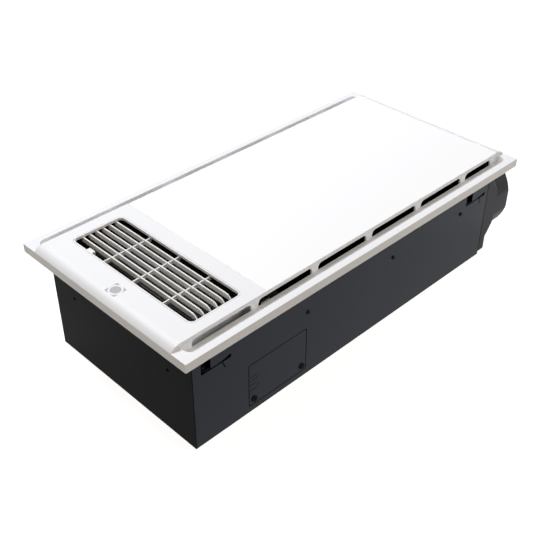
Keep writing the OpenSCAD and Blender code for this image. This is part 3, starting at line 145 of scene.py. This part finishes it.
soft_box("high_box", (0.1, 1.4, 2.6), (0, 0, 0.1), 1.3, 71, "#f2f7ff")
soft_box("side_box", (2.2, -1.9, 1.3), (0.1, -0.1, 0.1), 1.8, 30, "#fff6ec")
soft_box("near_box", (-1.7, -0.7, 1.9), (-0.1, 0, 0.15), 1.0, 7, "#ffeaca")


# Box: one long channel of folded 1.2 mm sheet steel with a plate at each end, powder
# coated black. The cured powder is finely pebbled and softens every folded edge.
def dress(name, finish, edge=0.3, segments=2, join=True):
    """Gives a CAD node its finish and rounds its edges by edge millimetres. Its loose
    triangles are merged, the flat ones joined where join is set (faces with many openings
    keep theirs), and the shading leans on the large faces."""
    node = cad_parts[name]
    node.data.materials.clear()
    node.data.materials.append(finish)
    node.data.polygons.foreach_set("use_smooth", np.ones(len(node.data.polygons), bool))
    node.modifiers.new("merge", "WELD").merge_threshold = 0.00001
    if join:
        flat = node.modifiers.new("join_flat_faces", "DECIMATE")
        flat.decimate_type = "DISSOLVE"
        flat.angle_limit = math.radians(0.3)
    soft = node.modifiers.new("soft_edges", "BEVEL")
    soft.width = edge / 1000
    soft.segments = segments
    soft.limit_method = "ANGLE"
    soft.angle_limit = math.radians(30)
    even = node.modifiers.new("even_shading", "WEIGHTED_NORMAL")
    even.weight = 50


def coated(name, dark, light, gloss):
    """Powder coat between two colours, gloss is how much of a plastic's sheen it keeps."""
    powder = fresh(bpy.data.materials.new(name))
    place = add(powder, "TexCoord").outputs["Object"]
    # pebbles of the cured powder: 0.6 mm across, drawn at 2 mm so that they show
    pebble = add(powder, "TexNoise", None,
                 {"Vector": place, "Scale": 500.0, "Detail": 2.0, "Roughness": 0.6})
    # the coat's thickness wanders over a hand's width
    cloud = add(powder, "TexNoise", None, {"Vector": place, "Scale": 11.0, "Detail": 3.0})
    shade = add(powder, "Mix", {"data_type": "RGBA"},
                {"Factor": cloud.outputs["Fac"], 6: tone(dark), 7: tone(light)})
    dull = add(powder, "MapRange", None,
               {"Value": pebble.outputs["Fac"], "To Min": 0.32, "To Max": 0.46})
    bump = add(powder, "Bump", None,
               {"Height": pebble.outputs["Fac"], "Strength": 0.12, "Distance": 0.0002})
    coat = add(powder, "BsdfPrincipled", None,
               {"Base Color": shade.outputs[2], "Roughness": dull.outputs[0],
                "Normal": bump.outputs[0], "IOR": 1.5, "Specular IOR Level": gloss,
                "Specular Tint": tone("#e4eeff")})
    add(powder, "OutputMaterial", None, {"Surface": coat.outputs[0]})
    return powder


powder = coated("black_powder_coated_steel", "#0b0f1a", "#101623", 0.155)
dress("housing_shell", powder, 0.35)
# the end plates get a flatter, a little blacker copy of the coat: the blacker colour is painted
# shade for the near end's dimly lit face
shaded_copy_of_powder = coated("black_powder_coated_steel_painted_shade", "#0b0d0e", "#111415", 0.015)
dress("near_end_plate", shaded_copy_of_powder, 0.5)
dress("far_end_plate", shaded_copy_of_powder, 0.3)


# Ceiling lugs: punched steel tongues, coated like the box, that swing out of its long
# sides. Each turns on a screw in a small bracket, both plated and passivated black.
for name in ("lug_1", "lug_2", "lug_3", "lug_4"):
    dress(name, powder, 0.25)

zinc = fresh(bpy.data.materials.new("bright_zinc_plated_steel"))
place = add(zinc, "TexCoord").outputs["Object"]
# spangle of the plating, some 5 mm across, and a finer bloom over it
spangle = add(zinc, "TexVoronoi", None, {"Vector": place, "Scale": 200.0})
bloom = add(zinc, "TexNoise", None, {"Vector": place, "Scale": 300.0, "Detail": 4.0})
shade = add(zinc, "Mix", {"data_type": "RGBA"},
            {"Factor": spangle.outputs["Distance"], 6: tone("#c6c9cc"), 7: tone("#a9adb3")})
dull = add(zinc, "MapRange", None, {"Value": bloom.outputs["Fac"], "To Min": 0.28, "To Max": 0.46})
metal = add(zinc, "BsdfPrincipled", None,
            {"Base Color": shade.outputs[2], "Roughness": dull.outputs[0], "Metallic": 1.0})
add(zinc, "OutputMaterial", None, {"Surface": metal.outputs[0]})

black_zinc = fresh(bpy.data.materials.new("black_passivated_zinc_plated_steel"))
place = add(black_zinc, "TexCoord").outputs["Object"]
# the driver's bit rubs the plating in specks of about a millimetre
worn = add(black_zinc, "TexNoise", None, {"Vector": place, "Scale": 900.0, "Detail": 3.0})
shade = add(black_zinc, "Mix", {"data_type": "RGBA"},
            {"Factor": worn.outputs["Fac"], 6: tone("#0a0a0b"), 7: tone("#141417")})
dull = add(black_zinc, "MapRange", None,
           {"Value": worn.outputs["Fac"], "To Min": 0.36, "To Max": 0.52})
lacquer = add(black_zinc, "BsdfPrincipled", None,
              {"Base Color": shade.outputs[2], "Roughness": dull.outputs[0],
               "Specular IOR Level": 0.04})
add(black_zinc, "OutputMaterial", None, {"Surface": lacquer.outputs[0]})
for name in ("lug_brackets", "lug_screws"):
    dress(name, black_zinc, 0.2)


# Duct adapter: a black ABS moulding screwed over the far end, with a flare and a round
# spigot. Its spark-eroded mould leaves a satin close to that of the coated steel.
black_abs = fresh(bpy.data.materials.new("black_moulded_abs"))
place = add(black_abs, "TexCoord").outputs["Object"]
# spark texture: 0.3 mm pits, drawn at 1 mm so that they show
spark = add(black_abs, "TexNoise", None, {"Vector": place, "Scale": 1000.0, "Detail": 1.0})
cloud = add(black_abs, "TexNoise", None, {"Vector": place, "Scale": 16.0, "Detail": 2.0})
shade = add(black_abs, "Mix", {"data_type": "RGBA"},
            {"Factor": cloud.outputs["Fac"], 6: tone("#171a22"), 7: tone("#1d2029")})
dull = add(black_abs, "MapRange", None,
           {"Value": spark.outputs["Fac"], "To Min": 0.4, "To Max": 0.54})
bump = add(black_abs, "Bump", None,
           {"Height": spark.outputs["Fac"], "Strength": 0.1, "Distance": 0.0002})
plastic = add(black_abs, "BsdfPrincipled", None,
              {"Base Color": shade.outputs[2], "Roughness": dull.outputs[0],
               "Normal": bump.outputs[0], "IOR": 1.53, "Specular IOR Level": 0.13})
add(black_abs, "OutputMaterial", None, {"Surface": plastic.outputs[0]})
dress("duct_adapter", black_abs, 0.5)


# Backdraft flaps: two half discs on one plated pin across the spigot, each pushed open
# by the fan's air and closed by its spring.
for name in ("flap_left", "flap_right"):
    dress(name, black_abs, 0.2)
dress("flap_pin", zinc, 0.2)


# Motor: a shaded steel can on a plate that hangs on four rubber grommets, nutted down
# on studs, with its run capacitor beside the scroll.
dress("motor_plate", zinc, 0.2)
dress("motor_studs", zinc, 0.15)
dress("motor_nuts", zinc, 0.15)
dress("motor_shaft", zinc, 0.2)

motor_can = fresh(bpy.data.materials.new("zinc_plated_motor_laminations"))
place = add(motor_can, "TexCoord").outputs["Object"]
# stacked laminations: 0.5 mm sheets, drawn 1 mm thick so that they show
layers = add(motor_can, "TexWave", {"wave_type": "BANDS", "bands_direction": "Z"},
             {"Vector": place, "Scale": 157.0, "Distortion": 0.3})
bloom = add(motor_can, "TexNoise", None, {"Vector": place, "Scale": 220.0, "Detail": 3.0})
shade = add(motor_can, "Mix", {"data_type": "RGBA"},
            {"Factor": bloom.outputs["Fac"], 6: tone("#9ea2a8"), 7: tone("#bfc2c6")})
dull = add(motor_can, "MapRange", None,
           {"Value": bloom.outputs["Fac"], "To Min": 0.32, "To Max": 0.5})
bump = add(motor_can, "Bump", None,
           {"Height": layers.outputs["Fac"], "Strength": 0.3, "Distance": 0.0002})
metal = add(motor_can, "BsdfPrincipled", None,
            {"Base Color": shade.outputs[2], "Roughness": dull.outputs[0],
             "Normal": bump.outputs[0], "Metallic": 1.0})
add(motor_can, "OutputMaterial", None, {"Surface": metal.outputs[0]})
dress("fan_motor", motor_can, 0.8, segments=3)

rubber = fresh(bpy.data.materials.new("black_moulded_rubber"))
place = add(rubber, "TexCoord").outputs["Object"]
# talc dust from the mould, in specks of about 2 mm
dust = add(rubber, "TexNoise", None, {"Vector": place, "Scale": 500.0, "Detail": 3.0})
shade = add(rubber, "Mix", {"data_type": "RGBA"},
            {"Factor": dust.outputs["Fac"], 6: tone("#151516"), 7: tone("#26262a")})
dull = add(rubber, "MapRange", None, {"Value": dust.outputs["Fac"], "To Min": 0.65, "To Max": 0.85})
soft = add(rubber, "BsdfPrincipled", None,
           {"Base Color": shade.outputs[2], "Roughness": dull.outputs[0], "IOR": 1.52})
add(rubber, "OutputMaterial", None, {"Surface": soft.outputs[0]})
dress("motor_grommets", rubber, 0.4, segments=3)

nylon = fresh(bpy.data.materials.new("ivory_flame_retardant_nylon"))
place = add(nylon, "TexCoord").outputs["Object"]
# faint marbling where the melt fronts met, some 10 mm wide
marble = add(nylon, "TexNoise", None,
             {"Vector": place, "Scale": 100.0, "Detail": 3.0, "Distortion": 0.8})
shade = add(nylon, "Mix", {"data_type": "RGBA"},
            {"Factor": marble.outputs["Fac"], 6: tone("#dcd6c4"), 7: tone("#e9e5d7")})
dull = add(nylon, "MapRange", None, {"Value": marble.outputs["Fac"], "To Min": 0.38, "To Max": 0.5})
moulded = add(nylon, "BsdfPrincipled", None,
              {"Base Color": shade.outputs[2], "Roughness": dull.outputs[0], "IOR": 1.53})
add(nylon, "OutputMaterial", None, {"Surface": moulded.outputs[0]})
dress("run_capacitor", nylon, 0.6, segments=3)


# Fan wheel and scroll: mouldings of black talc-filled polypropylene, waxy and dull, with
# the wheel nutted to the motor's shaft and the cover with its inlet bell laid on top.
black_pp = fresh(bpy.data.materials.new("black_talc_filled_polypropylene"))
place = add(black_pp, "TexCoord").outputs["Object"]
# flow marks of the filler, about 15 mm wide
flow = add(black_pp, "TexNoise", None,
           {"Vector": place, "Scale": 66.0, "Detail": 4.0, "Distortion": 0.6})
grit = add(black_pp, "TexNoise", None, {"Vector": place, "Scale": 900.0})
shade = add(black_pp, "Mix", {"data_type": "RGBA"},
            {"Factor": flow.outputs["Fac"], 6: tone("#101112"), 7: tone("#191a1b")})
dull = add(black_pp, "MapRange", None,
           {"Value": flow.outputs["Fac"], "To Min": 0.46, "To Max": 0.62})
bump = add(black_pp, "Bump", None,
           {"Height": grit.outputs["Fac"], "Strength": 0.1, "Distance": 0.0002})
plastic = add(black_pp, "BsdfPrincipled", None,
              {"Base Color": shade.outputs[2], "Roughness": dull.outputs[0],
               "Normal": bump.outputs[0], "IOR": 1.49, "Specular IOR Level": 0.1})
add(black_pp, "OutputMaterial", None, {"Surface": plastic.outputs[0]})
dress("fan_wheel", black_pp, 0.2)
dress("wheel_nut", zinc, 0.3)
dress("scroll_case", black_pp, 0.3)
dress("scroll_cover", black_pp, 0.3)


# Dampers: two doors on shafts through the scroll's cover, turned together by two small
# geared motors, to choose between the room's outlet and the duct.
dress("heat_damper", black_pp, 0.25)
dress("exhaust_damper", black_pp, 0.25)
dress("heat_damper_motor", zinc, 0.4)
dress("exhaust_damper_motor", zinc, 0.4)


# Outlet duct: a pale grey heat-resistant moulding that carries the air along the box and
# up through the heater. A little of its top shows through the second side slot.
pale_resin = fresh(bpy.data.materials.new("pale_grey_heat_resistant_resin"))
place = add(pale_resin, "TexCoord").outputs["Object"]
# glass-fibre streaks near the surface, 4 mm apart
fibre = add(pale_resin, "TexNoise", None,
            {"Vector": place, "Scale": 250.0, "Detail": 3.0, "Distortion": 1.0})
shade = add(pale_resin, "Mix", {"data_type": "RGBA"},
            {"Factor": fibre.outputs["Fac"], 6: tone("#8f8a80"), 7: tone("#9f9a90")})
# painted shade: the faces inside the mouth, which is 82 x 226 mm, are coloured nearly black for the
# shade deep below the grille
mouth_x, half_mouth_x, half_mouth_y = -0.22365, 0.0409, 0.1129
spot = add(pale_resin, "SeparateXYZ", None, {0: place})
across_mouth = add(pale_resin, "Math", {"operation": "COMPARE"},
                   {0: spot.outputs["X"], 1: mouth_x, 2: half_mouth_x})
along_mouth = add(pale_resin, "Math", {"operation": "COMPARE"},
                  {0: spot.outputs["Y"], 1: 0.0, 2: half_mouth_y})
mouth_shade_mask = add(pale_resin, "Math", {"operation": "MULTIPLY"},
             {0: across_mouth.outputs[0], 1: along_mouth.outputs[0]})
# painted shade: nearly black inside the mouth, the resin's own colour elsewhere
painted_shade_in_mouth = add(pale_resin, "Mix", {"data_type": "RGBA"},
            {"Factor": mouth_shade_mask.outputs[0], 6: shade.outputs[2], 7: tone("#121110")})
dull = add(pale_resin, "MapRange", None,
           {"Value": fibre.outputs["Fac"], "To Min": 0.45, "To Max": 0.6})
resin = add(pale_resin, "BsdfPrincipled", None,
            {"Base Color": painted_shade_in_mouth.outputs[2], "Roughness": dull.outputs[0], "IOR": 1.55,
             "Specular IOR Level": 0.1})
add(pale_resin, "OutputMaterial", None, {"Surface": resin.outputs[0]})
dress("outlet_duct", pale_resin, 0.3)


# Heater: five flat aluminium tubes around the ceramic stones, with folded fin stock
# glued in the spaces between them, in a black heat-resistant frame with a cut-out.
dress("core_frame", black_pp, 0.4)
dress("thermal_cutout", nylon, 0.3)

foil = fresh(bpy.data.materials.new("heat_dulled_aluminium_foil"))
place = add(foil, "TexCoord").outputs["Object"]
# patches of oxide from the heat, about 8 mm, and rolling grain far finer
oxide = add(foil, "TexNoise", None, {"Vector": place, "Scale": 120.0, "Detail": 3.0})
grain = add(foil, "TexNoise", None, {"Vector": place, "Scale": 900.0})
shade = add(foil, "Mix", {"data_type": "RGBA"},
            {"Factor": oxide.outputs["Fac"], 6: tone("#2c2b2a"), 7: tone("#454443")})
dull = add(foil, "MapRange", None, {"Value": grain.outputs["Fac"], "To Min": 0.34, "To Max": 0.5})
metal = add(foil, "BsdfPrincipled", None,
            {"Base Color": shade.outputs[2], "Roughness": dull.outputs[0], "Metallic": 1.0})
add(foil, "OutputMaterial", None, {"Surface": metal.outputs[0]})

core_low, core_high = (np.array(corner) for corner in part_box("heater_core"))
tube_count = 5
tube_wide = 0.0024
space = (core_high[0] - core_low[0] - tube_wide) / (tube_count + 1)
tube_left = core_low[0] + space * np.arange(1, tube_count + 1)


def piece(name, points, faces, finish, body):
    """A new object from points in metres and faces, riding on a CAD body."""
    mesh = bpy.data.meshes.new(name)
    mesh.from_pydata(points.tolist(), [], faces)
    mesh.polygons.foreach_set("use_smooth", np.ones(len(mesh.polygons), bool))
    mesh.materials.append(finish)
    made = bpy.data.objects.new(name, mesh)
    bpy.context.scene.collection.objects.link(made)
    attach(made, body)
    return made


def tube_points(left, around=24):
    """Flat tubes along Y. The section is a circle of half the tube's width, parted at
    mid height so that its halves sit at the top and the bottom of the core."""
    turn = 2 * np.pi * (np.arange(around) + 0.5) / around
    radius = tube_wide / 2
    reach = (core_high[2] - core_low[2]) / 2 - radius
    x = radius * np.cos(turn)
    z = radius * np.sin(turn) + np.sign(np.sin(turn)) * reach
    ends = np.array([core_low[1], core_high[1]])
    ring = np.empty((len(left), 2, around, 3))
    ring[..., 0] = left[:, None, None] + radius + x
    ring[..., 1] = ends[None, :, None]
    ring[..., 2] = (core_low[2] + core_high[2]) / 2 + z
    return ring.reshape(-1, 3)


def tube_faces(count, around=24):
    """Quads between the two end rings of each tube, and one face over each end."""
    first = np.arange(count)[:, None] * 2 * around
    here = np.arange(around)
    ahead = (here + 1) % around
    wall = np.stack([first + here, first + around + here,
                     first + around + ahead, first + ahead], -1)
    near = first + here
    far = first + around + here[::-1]
    return wall.reshape(-1, 4).tolist() + near.tolist() + far.tolist()


tubes = piece("heater_tubes", tube_points(tube_left), tube_faces(tube_count), foil,
              "heater")
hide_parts("heater_core")


# the strips stop short of the tubes' ends and of the core's faces, and a hair off the tubes
end_gap, face_gap, glue_gap = 0.0005, 0.0008, 0.0001


def fin_points(x0, x1, folds, per_fold):
    """Folded fin strip. Along the strip y grows evenly while x swings between its two
    tubes as a sine cut off at three quarters, which leaves flat crests; z is up."""
    run = np.linspace(0.0, 1.0, folds * per_fold + 1)
    swing = np.clip(np.sin(2 * np.pi * folds * run) / 0.75, -1, 1)
    grid = np.empty((2, len(run), 3))
    grid[..., 0] = (x0 + x1) / 2 + (x1 - x0) / 2 * swing
    grid[..., 1] = core_low[1] + end_gap + (core_high[1] - core_low[1] - 2 * end_gap) * run
    grid[0, :, 2] = core_low[2] + face_gap
    grid[1, :, 2] = core_high[2] - face_gap
    return grid.reshape(-1, 3)


# a fold every 3.2 mm, in sheet 0.12 mm thick
folds, per_fold = 66, 10
strip_left = np.concatenate([[core_low[0]], tube_left + tube_wide]) + glue_gap
strip_right = np.concatenate([tube_left, [core_high[0]]]) - glue_gap
strips = np.concatenate([fin_points(a, b, folds, per_fold)
                         for a, b in zip(strip_left, strip_right)])
across = folds * per_fold + 1
one = np.arange(across - 1)
quads = np.stack([one, one + 1, one + 1 + across, one + across], -1)
first_of_strip = np.arange(len(strip_left))[:, None, None] * 2 * across
strip_faces = (quads[None] + first_of_strip).reshape(-1, 4).tolist()
fins = piece("heater_folded_fins", strips, strip_faces, foil, "heater")
thick = fins.modifiers.new("sheet", "SOLIDIFY")
thick.thickness = 0.00012
thick.offset = 0.0
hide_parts("heater_core")


# Wiring: a box behind the long wall with a row of terminals and a cord clamp, closed by
# a flush coated cover with two scored cable knock-outs and two black screws. The box's
# own screws are coated with it.
dress("wiring_box", black_pp, 0.3)
dress("terminal_block", nylon, 0.3)
dress("cable_clamp", black_pp, 0.3)
dress("terminal_cover", powder, 0.2)
dress("terminal_screws", black_zinc, 0.12)
dress("body_screws", powder, 0.12)


# Controls: a tray under the outlet duct with the power board, whose parts stand on the
# green board; the same kind of board sits under the receiver's window.
def above(owner, place, level):
    """1 where the surface is higher than level, in metres."""
    height = add(owner, "SeparateXYZ", None, {0: place}).outputs["Z"]
    return add(owner, "Math", {"operation": "GREATER_THAN"}, {0: height, 1: level}).outputs[0]


dress("control_tray", black_pp, 0.3)
# each board with the height of its upper face
for name, board_face in (("control_board", 0.0099), ("receiver_board", 0.15165)):
    board = fresh(bpy.data.materials.new("green_solder_resist_of_" + name))
    place = add(board, "TexCoord").outputs["Object"]
    # copper tracks show through the resist as paler streets, 3 mm apart
    tracks = add(board, "TexVoronoi", {"distance": "MANHATTAN"}, {"Vector": place, "Scale": 330.0})
    green = add(board, "Mix", {"data_type": "RGBA"},
                {"Factor": tracks.outputs["Distance"], 6: tone("#1c4a30"), 7: tone("#2f7249")})
    parts = add(board, "Mix", {"data_type": "RGBA"},
                {"Factor": above(board, place, board_face), 6: green.outputs[2],
                 7: tone("#2a2a2c")})
    resist = add(board, "BsdfPrincipled", None, {"Base Color": parts.outputs[2], "Roughness": 0.35})
    add(board, "OutputMaterial", None, {"Surface": resist.outputs[0]})
    dress(name, board, 0.15)


# Panel: white ABS, satin from a finely blasted mould: the rim, the channels along both
# long sides with their slots, and the cover that rolls down to the rim at each end.
white_abs = fresh(bpy.data.materials.new("white_satin_abs"))
place = add(white_abs, "TexCoord").outputs["Object"]
# blasting grain: 0.15 mm, drawn at 0.8 mm so that it shows
sand = add(white_abs, "TexNoise", None, {"Vector": place, "Scale": 1250.0, "Detail": 1.0})
# the pigment is never quite even over the length of the panel
cloud = add(white_abs, "TexNoise", None, {"Vector": place, "Scale": 7.0, "Detail": 2.0})
shade = add(white_abs, "Mix", {"data_type": "RGBA"},
            {"Factor": cloud.outputs["Fac"], 6: tone("#eff0f2"), 7: tone("#f3f4f5")})
# painted shade: the two inner walls that cross the panel beside the light, 434.5 mm apart, are
# coloured nearly black within a given reach of each wall, over half a given length along it and up
# to a given height
between_walls, half_apart = 0.05275, 0.21725
shade_reach, shade_half, shade_top = 0.0095, 0.1238, 0.1478
spot = add(white_abs, "SeparateXYZ", None, {0: place})
offset = add(white_abs, "Math", {"operation": "SUBTRACT"},
             {0: spot.outputs["X"], 1: between_walls})
distance = add(white_abs, "Math", {"operation": "ABSOLUTE"}, {0: offset.outputs[0]})
on_walls = add(white_abs, "Math", {"operation": "COMPARE"},
               {0: distance.outputs[0], 1: half_apart, 2: shade_reach})
along_walls = add(white_abs, "Math", {"operation": "COMPARE"},
                  {0: spot.outputs["Y"], 1: 0.0, 2: shade_half})
low = add(white_abs, "Math", {"operation": "LESS_THAN"}, {0: spot.outputs["Z"], 1: shade_top})
painted_shade_strips = add(white_abs, "Math", {"operation": "MULTIPLY"},
                     {0: on_walls.outputs[0], 1: along_walls.outputs[0]})
painted_shade = add(white_abs, "Math", {"operation": "MULTIPLY"},
           {0: painted_shade_strips.outputs[0], 1: low.outputs[0]})
# painted shade: nearly black on those walls, the white ABS elsewhere
colour = add(white_abs, "Mix", {"data_type": "RGBA"},
             {"Factor": painted_shade.outputs[0], 6: shade.outputs[2], 7: tone("#0c0c0c")})
dull = add(white_abs, "MapRange", None,
           {"Value": sand.outputs["Fac"], "To Min": 0.4, "To Max": 0.5})
bump = add(white_abs, "Bump", None,
           {"Height": sand.outputs["Fac"], "Strength": 0.05, "Distance": 0.0001})
resin = add(white_abs, "BsdfPrincipled", None,
            {"Base Color": colour.outputs[2], "Roughness": dull.outputs[0],
             "Normal": bump.outputs[0], "IOR": 1.53, "Specular IOR Level": 0.35})
add(white_abs, "OutputMaterial", None, {"Surface": resin.outputs[0]})
dress("panel_frame", white_abs, 0.4, join=False)


# Grille: an insert of the same ABS with six blades and three ribs, held by two hooks at
# one edge and by a sliding latch at the other.
dress("outlet_grille", white_abs, 0.3, join=False)
dress("grille_latch", white_abs, 0.3)


# Clips: spring leaves under the panel that snap into windows in the box's long sides.
dress("panel_clips", zinc, 0.15)


# Light: a folded white steel tray of light strips with a driver below it, under an opal
# acrylic sheet whose long edges are rolled over the channels' walls.
white_coat = fresh(bpy.data.materials.new("white_powder_coated_steel"))
place = add(white_coat, "TexCoord").outputs["Object"]
pebble = add(white_coat, "TexNoise", None, {"Vector": place, "Scale": 600.0, "Detail": 2.0})
shade = add(white_coat, "Mix", {"data_type": "RGBA"},
            {"Factor": pebble.outputs["Fac"], 6: tone("#e6e7e8"), 7: tone("#eff0f0")})
dull = add(white_coat, "MapRange", None,
           {"Value": pebble.outputs["Fac"], "To Min": 0.5, "To Max": 0.62})
coat = add(white_coat, "BsdfPrincipled", None,
           {"Base Color": shade.outputs[2], "Roughness": dull.outputs[0], "IOR": 1.5})
add(white_coat, "OutputMaterial", None, {"Surface": coat.outputs[0]})
dress("light_tray", white_coat, 0.2)
dress("led_driver", zinc, 0.4)

strip = fresh(bpy.data.materials.new("white_resist_strip_with_phosphor_chips"))
place = add(strip, "TexCoord").outputs["Object"]
weave = add(strip, "TexNoise", None, {"Vector": place, "Scale": 700.0})
resist = add(strip, "Mix", {"data_type": "RGBA"},
             {"Factor": weave.outputs["Fac"], 6: tone("#e4e6e4"), 7: tone("#f0f1ef")})
strip_face = 0.14072
chips = add(strip, "Mix", {"data_type": "RGBA"},
            {"Factor": above(strip, place, strip_face), 6: resist.outputs[2], 7: tone("#e6cf62")})
surface = add(strip, "BsdfPrincipled", None, {"Base Color": chips.outputs[2], "Roughness": 0.4})
add(strip, "OutputMaterial", None, {"Surface": surface.outputs[0]})
dress("led_strips", strip, 0.15)

opal = fresh(bpy.data.materials.new("opal_acrylic_sheet"))
place = add(opal, "TexCoord").outputs["Object"]
# matt side of the extruded sheet: 0.2 mm frosting, drawn at 0.8 mm
frost = add(opal, "TexNoise", None, {"Vector": place, "Scale": 1250.0, "Detail": 1.0})
shade = add(opal, "Mix", {"data_type": "RGBA"},
            {"Factor": frost.outputs["Fac"], 6: tone("#fbfcfd"), 7: tone("#fdfefe")})
dull = add(opal, "MapRange", None, {"Value": frost.outputs["Fac"], "To Min": 0.46, "To Max": 0.56})
milk = add(opal, "BsdfPrincipled", None,
           {"Base Color": shade.outputs[2], "Roughness": dull.outputs[0], "IOR": 1.49})
add(opal, "OutputMaterial", None, {"Surface": milk.outputs[0]})
dress("light_diffuser", opal, 1.2, segments=4)


# Receiver: a round smoke-grey lens in the cover with a small light at each corner of a
# square around it, moulded as one clear plate and painted grey behind.
smoke = fresh(bpy.data.materials.new("smoke_grey_receiver_lens"))
place = add(smoke, "TexCoord").outputs["Object"]
tint = add(smoke, "TexNoise", None, {"Vector": place, "Scale": 400.0})
shade = add(smoke, "Mix", {"data_type": "RGBA"},
            {"Factor": tint.outputs["Fac"], 6: tone("#b2b0b4"), 7: tone("#b8b6ba")})
dull = add(smoke, "MapRange", None, {"Value": tint.outputs["Fac"], "To Min": 0.24, "To Max": 0.34})
lens = add(smoke, "BsdfPrincipled", None,
           {"Base Color": shade.outputs[2], "Roughness": dull.outputs[0], "IOR": 1.49})
add(smoke, "OutputMaterial", None, {"Surface": lens.outputs[0]})
dress("receiver_window", smoke, 0.2)
dress("corner_lights", smoke, 0.1)
